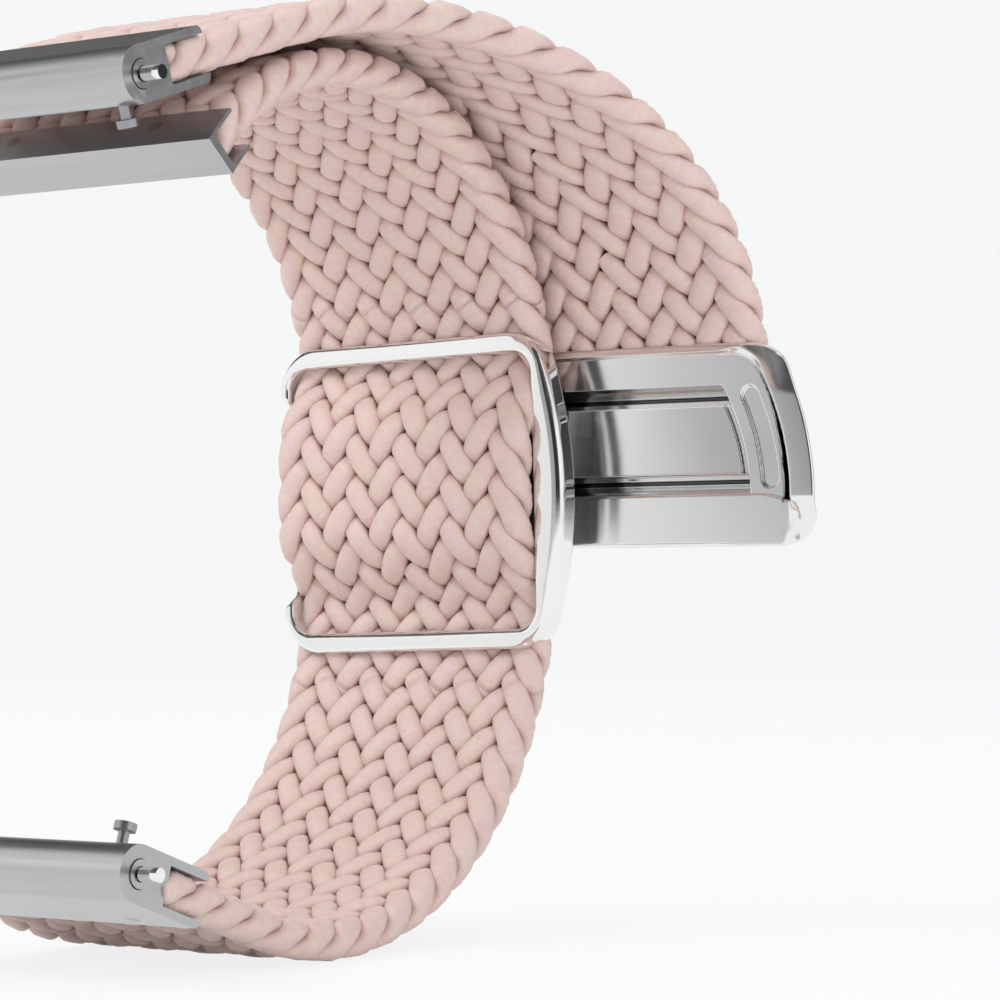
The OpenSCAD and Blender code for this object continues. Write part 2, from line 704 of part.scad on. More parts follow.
// Finger pill beside the grooves, which follows the bow
pill_x = lip_x - 3.15;
pill_w = 1.3;
module pill_outline() {
    r = pill_x - bow_x;
    a0 = asin((guide_low + 1.1 - bow_z) / r);
    a1 = asin((panel_z + panel_h / 2 + groove_h - 0.7 - bow_z) / r);
    translate([bow_x, bow_z]) {
        intersection() {
            difference() {
                circle(r = r + pill_w / 2, $fn = 180);
                circle(r = r - pill_w / 2, $fn = 180);
            }
            polygon([[0, 0], 2 * r * [cos(a0), sin(a0)], 2 * r * [cos(a1), sin(a1)]]);
        }
        for (a = [a0, a1])
            translate(r * [cos(a), sin(a)]) circle(r = pill_w / 2, $fn = 32);
    }
}
module clasp_guide() {
    low = panel_z - panel_h / 2;
    high = panel_z + panel_h / 2;
    color(steel) clasp_at() difference() {
        facing(guide_face, guide_back) guide_outline(0.01);
        // Two grooves and the shallower panel between them
        for (z = [low - groove_h, high])
            facing(guide_face - cut, groove_face) intersection() {
                in_bow(groove_r);
                translate([-clasp_left - cut, z]) square([2 * lip_x, groove_h]);
            }
        facing(guide_face - cut, panel_face) intersection() {
            in_bow(groove_r);
            translate([-clasp_left - cut, low - 0.01]) square([2 * lip_x, panel_h + 0.02]);
        }
        facing(guide_face - cut, guide_face + 0.3) pill_outline();
        // Magnet pockets from behind
        for (x = [-magnet_x, magnet_x])
            translate([x - magnet_w / 2, panel_face + 0.4, panel_z - magnet_h / 2])
                cube([magnet_w, guide_back, magnet_h]);
        // Room for the strap's thin end and the bar that clamps it
        translate([-tongue_w / 2 - 0.1, tongue_face - 0.05, clamp_low - 0.05])
            cube([tongue_w + 0.2, guide_back, guide_top]);
        clamp_bores(guide_back);
    }
}
module clasp_magnets() {
    color(magnet) clasp_at() for (x = [-magnet_x, magnet_x])
        translate([x - magnet_w / 2 + seat_gap, panel_face + 0.4, panel_z - magnet_h / 2 + seat_gap])
            cube([magnet_w - 2 * seat_gap, magnet_t, magnet_h - 2 * seat_gap]);
}
// Bar with a row of teeth that bites the strap's thin end
module strap_clamp_bar() {
    y0 = tongue_face + tongue_t;
    teeth = 18;
    pitch = clamp_w / teeth;
    tooth_side = pitch * 0.4;
    color(dark_steel) clasp_at() difference() {
        translate([-clamp_w / 2, y0, clamp_low]) cube([clamp_w, guide_back - y0, guide_top - clamp_low - 0.02]);
        for (i = [0:teeth - 1])
            translate([-clamp_w / 2 + (i + 0.5) * pitch, y0, clamp_mid])
                rotate([0, 0, 45]) cube([tooth_side, tooth_side, tongue_deep + cut], center = true);
        for (x = clamp_pin_x)
            translate([x, cover_back, clamp_mid]) rotate([90, 0, 0])
                cylinder(r = 0.4, h = cover_back, $fn = 32);
    }
}
module clamp_pins() {
    color(dark_steel) clasp_at() for (x = clamp_pin_x)
        translate([x, cover_back - 0.5, clamp_mid]) rotate([90, 0, 0])
            cylinder(r = 0.4, h = cover_back - 0.8 - guide_face, $fn = 32);
}

// Second strap: a thin end in the clasp, then round the loop to the second spring bar
module strap_b() {
    n = [cos(leave_b), sin(leave_b)];
    end = lerp(lug_b, leave_pt_b, (mouth_at + seat_gap) / dist(lug_b, leave_pt_b));
    tongue_y = tongue_face + tongue_t / 2;
    tongue_share = tongue_t / strap_t;
    tongue_w_share = tongue_w / strap_w;
    full_z = clasp_top + 0.25;
    start_a = asin((full_z + 0.6 - top_flat) / b_r);
    tongue = [for (z = [clamp_low + 0.05, guide_top, full_z - 0.1])
        station([tongue_y, z], [1, 0], 0, tongue_w_share, tongue_share)];
    full = concat(tongue,
                  bend_stations(top_c, b_r, start_a, leave_b, bend_steps),
                  [station(lerp(leave_pt_b, end, 0.5), n), station(end, n, 0, 1, held_share)]);
    color(nylon) difference() {
        from_loop()
            strap([for (i = [len(full) - 1:-1:0]) let (s = full[i]) [lean(s[1]), s[1], s[2], s[3], s[4]]]);
        at_lug_b() for (x = pin_x)
            translate([x, pin_at, 0]) cylinder(r = pin_r + held_gap, h = 2 * strap_t, center = true, $fn = 32);
    }
}

lug_fitting_a();
fitting_pins_a();
bar_tube_a();
bar_fixed_tip_a();
bar_sliding_tip_a();
bar_lever_a();
bar_spring_a();
strap_a_lower();
slider_frame();
strap_carrier();
carrier_pins();
carrier_magnets();
magnet_cover();
strap_a_window();
strap_a_tail();
tail_clamp();
tail_rivets();
clasp_cover();
clasp_guide();
clasp_magnets();
strap_clamp_bar();
clamp_pins();
strap_b();
lug_fitting_b();
fitting_pins_b();
bar_tube_b();
bar_fixed_tip_b();
bar_sliding_tip_b();
bar_lever_b();
bar_spring_b();
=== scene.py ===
import math

import bmesh
import bpy
import numpy as np
from bpy.props import FloatProperty, IntProperty, PointerProperty, StringProperty
from mathutils import Matrix, Vector


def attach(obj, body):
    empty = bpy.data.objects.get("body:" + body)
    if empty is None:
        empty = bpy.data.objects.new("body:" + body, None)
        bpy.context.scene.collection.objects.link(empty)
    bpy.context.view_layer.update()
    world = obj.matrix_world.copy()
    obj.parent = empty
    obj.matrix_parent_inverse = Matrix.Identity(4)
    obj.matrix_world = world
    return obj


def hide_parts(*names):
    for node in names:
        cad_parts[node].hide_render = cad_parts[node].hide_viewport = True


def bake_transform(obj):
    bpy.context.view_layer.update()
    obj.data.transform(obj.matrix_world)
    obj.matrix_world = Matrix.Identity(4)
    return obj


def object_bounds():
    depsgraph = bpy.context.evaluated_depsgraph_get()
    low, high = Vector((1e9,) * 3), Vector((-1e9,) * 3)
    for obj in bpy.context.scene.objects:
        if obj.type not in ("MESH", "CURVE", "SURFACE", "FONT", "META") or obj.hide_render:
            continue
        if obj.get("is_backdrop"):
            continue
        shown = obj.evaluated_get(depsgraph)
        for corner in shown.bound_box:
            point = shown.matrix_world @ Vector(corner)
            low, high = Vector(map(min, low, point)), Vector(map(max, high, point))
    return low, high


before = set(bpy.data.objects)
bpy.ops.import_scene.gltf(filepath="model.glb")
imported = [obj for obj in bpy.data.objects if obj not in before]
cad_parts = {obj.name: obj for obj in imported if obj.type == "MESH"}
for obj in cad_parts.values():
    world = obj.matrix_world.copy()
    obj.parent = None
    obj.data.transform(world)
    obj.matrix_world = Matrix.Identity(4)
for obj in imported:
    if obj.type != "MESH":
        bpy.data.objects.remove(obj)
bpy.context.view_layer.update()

bl_info = {
    "name": "Braided Watch Strap",
    "version": (1, 0, 0),
    "blender": (4, 5, 0),
    "location": "View3D > Sidebar > Watch Strap",
    "description": "Builds the braid, sliding frame, clasp and fittings of a nylon watch strap",
    "category": "Object",
}

MM = 0.001

# The frame's origin is the axis of the first spring bar. The loop's own middle, behind the
# sliding frame, is this far from it along Y and Z, in millimetres.
LUG_BACK = 45.0
LUG_HALF = 24.0
# Each strap's braid ends this far from its spring bar, and the second leaves the clasp this far
# above the loop's middle.
FITTING_END = 2.75
CLASP_EDGE = 10.0
# The second strap bends sideways between these places to meet the open clasp, in the loop's own Y
# and Z.
BEND_AT_CLASP = (3.7, 7.1)
BEND_AT_LUG = (3.5 - LUG_BACK, LUG_HALF + 1)


# Kinds of property

def length(name, description, default):
    """A length in metres."""
    return FloatProperty(name=name, description=description, default=default, unit="LENGTH")


def angle(name, description, degrees):
    """An angle, given here in degrees."""
    return FloatProperty(name=name, description=description, default=math.radians(degrees),
                         subtype="ANGLE")


def share(name, description, default):
    """A share between 0 and 1."""
    return FloatProperty(name=name, description=description, default=default, subtype="FACTOR")


def watts(name, description, default):
    """A light's power."""
    return FloatProperty(name=name, description=description, default=default, unit="POWER")


def hex_colour(name, what, default):
    """A colour as an sRGB hex value."""
    return StringProperty(name=name, description="sRGB hex colour of " + what, default=default)


class StrapSizes(bpy.types.PropertyGroup):
    width: length("Width", "Width of the braided strap", 0.022)
    thickness: length("Thickness", "Thickness of the braid over both layers", 0.0025)
    strands: IntProperty(name="Strands", default=21,
                         description="Strands in the flat braid, one more than a multiple of four")
    pitch: length("Pitch", "Spacing of neighbouring strands along the strap", 0.003)
    strand_width: length("Strand width", "Width of one flattened strand", 0.00172)
    strand_height: length("Strand height", "Thickness of one flattened strand", 0.00122)
    step: length("Step", "Distance between the rings of a strand's mesh", 0.00036)
    phase_a: FloatProperty(name="Phase, first strap", default=0.0,
                           description="Where the first strap's braid starts, in strand spacings")
    phase_b: FloatProperty(name="Phase, second strap", default=0.0,
                           description="Where the second strap's braid starts, in strand spacings")
    yarn: hex_colour("Yarn colour", "the dyed nylon where it faces the light", "E0C6BF")
    # Painted shade: the colour the yarn is drawn in down between the strands, where shade falls
    yarn_painted_shade: hex_colour("Deep yarn colour", "the yarn down between the strands", "A87468")
    rib: length("Yarn rib", "Spacing of the fine ribs across a strand", 0.00016)


class LoopSizes(bpy.types.PropertyGroup):
    top_radius: length("Upper bend", "Radius of the first strap's upper bend", 0.0215)
    low_radius: length("Lower bend", "Radius of the first strap's lower bend", 0.0241)
    top_flat: length("Upper bend start", "Height at which the upper bend starts", 0.0061)
    low_flat: length("Lower bend start", "Depth at which the lower bend starts", 0.0057)
    strap_gap: length("Gap", "Gap between the two straps where they overlap", 0.0007)
    tail_angle: angle("Tail end", "Where the tail ends round the upper bend", 139)
    wave_height: length("Rise", "How far the strap rises through the frame's window", 0.003)
    open_x: length("Clasp opening", "How far the clasp stands open sideways", 0.016)


class FrameSizes(bpy.types.PropertyGroup):
    window_left: length("Window left", "Left edge of the frame's window", 0.0107)
    window_right: length("Window right", "Right edge of the frame's window", 0.0108)
    height: length("Height", "Height of the sliding frame", 0.0226)
    bar: length("Bars", "Height of the frame's upper and lower bars", 0.00145)
    left_side: length("Left side", "Width of the straight left side", 0.0008)
    right_side: length("Right side", "Width of the bowed right side at its middle", 0.0025)
    bow_radius: length("Bow", "Radius of the bowed right side", 0.029)
    left_corner: length("Left corners", "Radius of the left corners", 0.0032)
    right_corner: length("Right corners", "Radius of the right corners", 0.0028)
    face: length("Face", "How far the face stands in front of the strap's middle", 0.00245)
    edge: length("Edge", "Radius of the rounded outer edges of the bars", 0.00034)
    bow_edge: length("Bow edge", "Radius of the rounded outer edge of the bowed side", 0.00075)
    inner_edge: length("Inner edge", "Radius of the rounded edges of the window", 0.00048)
    askew: angle("Askew", "How far the frame hangs askew on the soft strap", 1.5)
    set_back: length("Set back", "How far the left side lies behind the face", 0.00145)


class ClaspSizes(bpy.types.PropertyGroup):
    low: length("Lower edge", "Height of the clasp's lower edge above the loop's middle", -0.0038)
    top: length("Upper edge", "Height of the clasp's upper edge", 0.0103)
    left: length("Left end", "Left end of the clasp from its own middle", 0.0124)
    right: length("Right end", "Right end of the bowed lip from the clasp's middle", 0.0155)
    lip: length("Lip", "Width of the raised lip", 0.0021)
    lip_rise: length("Lip rise", "Height of the lip above the plate", 0.00085)
    corner: length("Upper corner", "Radius of the clasp's upper right corner", 0.0034)
    low_corner: length("Lower corner", "Radius of the clasp's lower right corner", 0.0024)
    groove_end: length("Groove end", "Right end of the grooves from the clasp's middle", 0.0102)
    groove: length("Groove", "Height of each groove", 0.0013)
    panel: length("Panel", "Height of the panel between the grooves", 0.0049)
    panel_middle: length("Panel middle", "Middle height of the panel", 0.0036)
    cell: length("Cell", "Size of the plate's mesh cells where its relief is finest", 0.00004)


class BarSizes(bpy.types.PropertyGroup):
    spring_start: length("Spring start", "Fixed end of the return spring from the strap's middle",
                         0.00137)
    spring_end: length("Spring end", "End of the return spring at the sliding tip", 0.0079)
    coil: length("Coil", "Radius of the return spring's coils", 0.00052)
    wire: length("Wire", "Radius of the return spring's wire", 0.0001)
    turns: IntProperty(name="Turns", description="Turns of the return spring", default=8)
    housing_edge: length("Fitting edges", "Rounding of the end fittings' and tail clamp's edges",
                         0.0001)
    carrier_edge: length("Carrier edges", "Rounding of the carrier's edges", 0.00006)


class SteelLook(bpy.types.PropertyGroup):
    polish: hex_colour("Polished steel", "the polished stainless steel", "F1F1F0")
    satin: hex_colour("Satin steel", "the clasp's satin plate", "EDEEEE")
    brushed: hex_colour("Brushed steel", "the brushed stainless steel", "C2C3C5")
    polish_roughness: share("Polish", "Roughness of the polished steel", 0.08)
    satin_roughness: share("Satin", "Roughness of the satin plate", 0.15)
    grain: length("Brush grain", "Spacing of the brushing lines", 0.00012)


class StageLook(bpy.types.PropertyGroup):
    floor: hex_colour("Floor", "the floor and backdrop", "FBFCFC")
    glow: share("Backdrop glow", "Share of the backdrop that shows as plain white paper", 0.86)
    key: watts("Key light", "Strength of the key light in watts", 5.3)
    fill: watts("Fill light", "Strength of the fill light in watts", 2.6)
    top: watts("Top light", "Strength of the top light in watts", 2.6)
    room: FloatProperty(name="Room light", default=0.42,
                        description="Strength of the room's even light")


# Colours and materials

def colour(hex_value):
    """Linear RGBA from an sRGB hex value."""
    channels = [int(hex_value[i:i + 2], 16) / 255 for i in (0, 2, 4)]
    return [c / 12.92 if c <= 0.04045 else ((c + 0.055) / 1.055) ** 2.4 for c in channels] + [1.0]


def wire(tree, node, **inputs):
    """Gives a node's inputs, named or counted as n0, n1, a value or another node's socket."""
    for key, value in inputs.items():
        counted = key[0] == "n" and key[1:].isdigit()
        socket = node.inputs[int(key[1:]) if counted else key.replace("_", " ")]
        if isinstance(value, bpy.types.NodeSocket):
            tree.links.new(value, socket)
        else:
            socket.default_value = value
    return node


def add(tree, kind, settings=None, **inputs):
    """Adds a node. settings are its own properties, and inputs go to wire."""
    node = tree.nodes.new(kind)
    for key, value in (settings or {}).items():
        setattr(node, key, value)
    return wire(tree, node, **inputs)


def mixed(tree, factor, first, second, blend="MIX"):
    """The mix of two colours."""
    return add(tree, "ShaderNodeMix", {"data_type": "RGBA", "blend_type": blend},
               n0=factor, n6=first, n7=second).outputs[2]


def attribute(tree, name):
    """A value that the mesh keeps at each vertex."""
    return add(tree, "ShaderNodeAttribute", {"attribute_name": name})


def material(name):
    """An empty material and its Principled shader."""
    old = bpy.data.materials.get(name)
    if old:
        bpy.data.materials.remove(old)
    mat = bpy.data.materials.new(name)
    mat.use_nodes = True
    tree = mat.node_tree
    tree.nodes.clear()
    out = tree.nodes.new("ShaderNodeOutputMaterial")
    shader = tree.nodes.new("ShaderNodeBsdfPrincipled")
    tree.links.new(shader.outputs[0], out.inputs[0])
    return mat, tree, shader


def dyed_nylon(p):
    """Flattened strands of dyed, textured nylon yarn. The eye sees a soft satin sheen along each
    strand, fine ribs across it, and a painted shade of deeper rose down between the strands."""
    mat, tree, shader = material("dyed_nylon_braid")
    uv = add(tree, "ShaderNodeUVMap", {"uv_map": "yarn"})
    # UV holds about millimetres along and round the strand. The real ribs are finer than a pixel,
    # so they are drawn at twice their spacing.
    widened, bands_per_unit = 2, 3.2
    along = add(tree, "ShaderNodeMapping", Vector=uv.outputs[0], Scale=(1.0, 0.35, 1.0))
    ribs = add(tree, "ShaderNodeTexWave", {"wave_type": "BANDS", "bands_direction": "X"},
               Vector=along.outputs[0], Scale=1 / (widened * p.rib / MM * bands_per_unit),
               Distortion=1.6, Detail=2.0, Detail_Scale=2.0)
    flecks = add(tree, "ShaderNodeTexNoise", Vector=along.outputs[0], Scale=2.2, Detail=4.0,
                 Roughness=0.6)
    # Painted shade: the yarn turns towards the deeper colour down between the strands
    tone = mixed(tree, attribute(tree, "deep").outputs["Fac"], colour(p.yarn), colour(p.yarn_painted_shade))
    height = add(tree, "ShaderNodeMath", {"operation": "MULTIPLY_ADD"}, n0=flecks.outputs[0],
                 n1=0.6, n2=ribs.outputs["Fac"])
    bump = add(tree, "ShaderNodeBump", Height=height.outputs[0], Strength=0.35, Distance=0.00004)
    rough = add(tree, "ShaderNodeMapRange", Value=ribs.outputs["Fac"], To_Min=0.52, To_Max=0.66)
    wire(tree, shader, Base_Color=mixed(tree, 0.22, tone, flecks.outputs["Color"], "OVERLAY"),
         Normal=bump.outputs[0], Roughness=rough.outputs[0], IOR=1.53,
         Sheen_Weight=0.35, Sheen_Roughness=0.45, Sheen_Tint=colour("F6E2DC"))
    return mat


def polished_steel(p):
    """Buffed 316L stainless steel. It mirrors the room, with faint hairlines from the last
    polishing that only show where a light is reflected."""
    return buffed("polished_stainless_steel", p.polish, p.polish_roughness, (60, 900, 1400), 0.05)


def satin_steel(p):
    """316L stainless steel after fine satin finishing: reflections keep their place but lose
    their edges, and short lines run along the strap's width."""
    return buffed("satin_stainless_steel", p.satin, p.satin_roughness, (220, 1500, 5200), 0.12)


def buffed(name, tint, roughness, scale, depth):
    """Polished metal with lines a few hundredths of a millimetre apart and soft clouding."""
    mat, tree, shader = material(name)
    where = add(tree, "ShaderNodeTexCoord").outputs["Object"]
    lines = add(tree, "ShaderNodeMapping", Vector=where, Scale=scale)
    hair = add(tree, "ShaderNodeTexNoise", Vector=lines.outputs[0], Scale=6.0, Detail=3.0)
    cloud = add(tree, "ShaderNodeTexNoise", Vector=where, Scale=160.0, Detail=2.0)
    rough = add(tree, "ShaderNodeMapRange", Value=cloud.outputs[0], From_Min=0.3, From_Max=0.7,
                To_Min=roughness * 0.85, To_Max=roughness * 1.2)
    bump = add(tree, "ShaderNodeBump", Height=hair.outputs[0], Strength=depth, Distance=0.000004)
    # Painted shade: narrow recesses are drawn darker than the faces round them, where shade falls.
    # Their real finish isn't known.
    steel = mixed(tree, attribute(tree, "painted_recess_shade").outputs["Fac"], colour(tint), colour("141415"))
    wire(tree, shader, Base_Color=steel, Roughness=rough.outputs[0], Normal=bump.outputs[0],
         Metallic=1.0)
    return mat


def brushed_steel(p, name="brushed_stainless_steel", shade=1.0):
    """Stainless steel brushed along the strap's width: short parallel lines that spread each
    reflection across them."""
    mat, tree, shader = material(name)
    where = add(tree, "ShaderNodeTexCoord").outputs["Object"]
    lines_per_feature = 6.0
    grain = 1.0 / p.grain / lines_per_feature
    lines = add(tree, "ShaderNodeMapping", Vector=where, Scale=(grain * 0.03, grain, grain))
    brush = add(tree, "ShaderNodeTexNoise", Vector=lines.outputs[0], Scale=1.0, Detail=4.0,
                Roughness=0.65).outputs[0]
    base = colour(p.brushed)[:3]
    tone = mixed(tree, brush, [c * 0.82 * shade for c in base] + [1.0],
                 [min(c * 1.08 * shade, 1.0) for c in base] + [1.0])
    rough = add(tree, "ShaderNodeMapRange", Value=brush, To_Min=0.24, To_Max=0.42)
    bump = add(tree, "ShaderNodeBump", Height=brush, Strength=0.25, Distance=0.000008)
    wire(tree, shader, Base_Color=tone, Roughness=rough.outputs[0], Normal=bump.outputs[0],
         Metallic=1.0)
    return mat


def nickel_plate():
    """Nickel-plated magnet: smooth and slightly warm grey, with a soft cloudy gloss."""
    mat, tree, shader = material("nickel_plated_magnet")
    where = add(tree, "ShaderNodeTexCoord").outputs["Object"]
    cloud = add(tree, "ShaderNodeTexNoise", Vector=where, Scale=900.0, Detail=3.0).outputs[0]
    rough = add(tree, "ShaderNodeMapRange", Value=cloud, To_Min=0.18, To_Max=0.34)
    wire(tree, shader, Base_Color=mixed(tree, cloud, colour("8F8C86"), colour("B4B0A8")),
         Roughness=rough.outputs[0], Metallic=1.0)
    return mat


# Meshes

def make(name, verts_mm, faces, mat):
    """A smooth mesh object from vertices in millimetres."""
    old = bpy.data.objects.get(name)
    if old:
        bpy.data.objects.remove(old)
    mesh = bpy.data.meshes.new(name)
    mesh.from_pydata((np.asarray(verts_mm, float) * MM).tolist(), [], faces)
    mesh.validate()
    obj = bpy.data.objects.new(name, mesh)
    bpy.context.scene.collection.objects.link(obj)
    mesh.materials.append(mat)
    mesh.polygons.foreach_set("use_smooth", [True] * len(mesh.polygons))
    return obj


def face_outwards(obj):
    """Turns a closed mesh's faces outwards."""
    bm = bmesh.new()
    bm.from_mesh(obj.data)
    bmesh.ops.recalc_face_normals(bm, faces=bm.faces)
    bm.to_mesh(obj.data)
    bm.free()


def keep_values(obj, name, values):
    """Keeps one value at each vertex, for the materials to read."""
    kept = obj.data.attributes.new(name, "FLOAT", "POINT")
    kept.data.foreach_set("value", np.asarray(values, np.float32))


def tube_faces(rows, sides, base=0, closed=False):
    """Faces between rings of vertices that follow each other. A closed tube's last ring joins its
    first."""
    return [(base + i * sides + j, base + i * sides + (j + 1) % sides,
             base + (i + 1) % rows * sides + (j + 1) % sides, base + (i + 1) % rows * sides + j)
            for i in range(rows if closed else rows - 1) for j in range(sides)]


# The loop, as the middle line of each strap in the Y and Z directions

def smooth_step(t):
    """From 0 to 1 as t does, level at both ends and beyond."""
    t = np.clip(t, 0.0, 1.0)
    return t * t * (3 - 2 * t)


def soft_step(distance, width):
    """From 0 to 1 where a distance passes 0, over a width."""
    return smooth_step(distance / width + 0.5)


class Loop:
    """The two straps' middle lines, in millimetres about the loop's own middle."""

    def __init__(self, loop, strap, ring):
        self.top_r, self.low_r = loop.top_radius / MM, loop.low_radius / MM
        self.top_flat, self.low_flat = loop.top_flat / MM, loop.low_flat / MM
        self.top_c = np.array([-self.top_r, self.top_flat])
        self.low_c = np.array([-self.low_r, -self.low_flat])
        self.b_r = self.top_r + strap.thickness / MM + loop.strap_gap / MM
        self.tail_angle = loop.tail_angle
        self.wave = loop.wave_height / MM
        self.open_x = loop.open_x / MM
        self.frame_h = ring.height / MM
        # The stretch in the window runs a little past the frame, above and below
        self.window_end = self.frame_h / 2 + 2.7
        self.low_join = -math.asin((self.window_end - self.low_flat) / self.low_r)
        self.top_join = math.asin((self.window_end - self.top_flat) / self.top_r)
        self.lug_a = np.array([-LUG_BACK, -LUG_HALF])
        self.lug_b = np.array([-LUG_BACK, LUG_HALF])

    @staticmethod
    def leave_angle(c, r, lug, side):
        """Angle at which a bend's end points straight at the lug: side is 1 above, -1 below."""
        d = lug - c
        return side * (side * math.atan2(d[1], d[0]) - math.acos(r / np.hypot(*d)))

    @staticmethod
    def on_arc(c, r, a):
        """Places on an arc, at an angle or at a row of them."""
        return np.stack([c[0] + r * np.cos(a), c[1] + r * np.sin(a)], -1)

    def run(self, c, r, angle, lug):
        """The two ends of the straight run from a bend to the braid's end beside the lug."""
        leave = self.on_arc(c, r, angle)
        return leave, lug + (leave - lug) * (FITTING_END / np.hypot(*(leave - lug)))

    def window_y(self, z):
        """The first strap's middle line where it rises through the frame's window."""
        z = np.asarray(z, float)
        r = np.where(z > 0, self.top_r, self.low_r)
        over = np.maximum(np.abs(z) - np.where(z > 0, self.top_flat, self.low_flat), 0)
        bend = np.sqrt(r * r - over * over) - r
        crest_z, crest_half, slope = 0.8, 3, 6.2
        rise = -self.wave * (1 - smooth_step((np.abs(z - crest_z) - crest_half) / slope))
        # The frame's bars press the strap back a little
        bar_z, press, spread = (self.frame_h - 1.25) / 2, 0.15, 3.1
        return bend + rise + press * (1 - smooth_step(np.abs(np.abs(z) - bar_z) / spread))

    def first(self):
        """First strap, from its lug up through the window to the tail's end, and the two lengths
        at which it is cut."""
        angle = self.leave_angle(self.low_c, self.low_r, self.lug_a, -1)
        leave, end = self.run(self.low_c, self.low_r, angle, self.lug_a)
        # The strands stop just inside the tail's end
        tail_stop = self.tail_angle - 0.012
        z = np.linspace(-self.window_end, self.window_end, 260)
        parts = [np.linspace(end, leave, 30),
                 self.on_arc(self.low_c, self.low_r, np.linspace(angle, self.low_join, 160)),
                 np.stack([self.window_y(z), z], 1),
                 self.on_arc(self.top_c, self.top_r, np.linspace(self.top_join, tail_stop, 160))]
        lengths = [np.hypot(*np.diff(q, axis=0).T).sum() for q in parts]
        return Path(parts), [lengths[0] + lengths[1], sum(lengths[:3])]

    def second(self):
        """Second strap, from the clasp's upper edge round to its lug."""
        angle = self.leave_angle(self.top_c, self.b_r, self.lug_b, 1)
        leave, end = self.run(self.top_c, self.b_r, angle, self.lug_b)
        start = math.asin((CLASP_EDGE - self.top_flat) / self.b_r)
        return Path([self.on_arc(self.top_c, self.b_r, np.linspace(start, angle, 300)),
                     np.linspace(leave, end, 40)])

    def lean(self, y, z):
        """How far the second strap stands to the side at a place on its middle line."""
        a = np.array(BEND_AT_CLASP)
        d = np.array(BEND_AT_LUG) - a
        return self.open_x * (1 - smooth_step(((y - a[0]) * d[0] + (z - a[1]) * d[1]) / (d @ d)))


class Path:
    """A middle line by its length, with its inward normal, which faces the wrist."""

    def __init__(self, parts):
        pts = np.concatenate([parts[0]] + [q[1:] for q in parts[1:]])
        step = np.hypot(*np.diff(pts, axis=0).T)
        self.pts = pts[np.concatenate([[True], step > 1e-6])]
        self.s = np.concatenate([[0], np.cumsum(np.hypot(*np.diff(self.pts, axis=0).T))])
        self.length = self.s[-1]
        t = np.gradient(self.pts, self.s, axis=0)
        # A short running mean takes the corners out of the turning of the normal
        half = 9
        padded = np.pad(t, ((half, half), (0, 0)), mode="edge")
        mean = np.ones(2 * half + 1) / (2 * half + 1)
        t = np.stack([np.convolve(padded[:, i], mean, "valid") for i in (0, 1)], 1)
        self.t = t / np.hypot(*t.T)[:, None]

    def at(self, s):
        """Place and inward normal at the given lengths."""
        y, z = (np.interp(s, self.s, self.pts[:, i]) for i in (0, 1))
        ty, tz = (np.interp(s, self.s, self.t[:, i]) for i in (0, 1))
        # Past an end the line runs straight on
        over = np.where(s > self.length, s - self.length, np.where(s < 0, s, 0.0))
        y, z = y + over * ty, z + over * tz
        n = np.hypot(ty, tz)
        return y, z, -tz / n, ty / n


def unit(v):
    """Vectors made one long."""
    return v / np.linalg.norm(v, axis=-1)[..., None]


def stretches(s_cuts, step):
    """The lengths at which a strand has its rings, and the ring that each stretch starts at."""
    starts, stations = [0], []
    for a, b in zip(s_cuts[:-1], s_cuts[1:]):
        count = max(2, int(round((b - a) / step)))
        part = np.linspace(a, b, count + 1)
        stations.append(part if not stations else part[1:])
        starts.append(starts[-1] + count)
    return np.concatenate(stations), starts


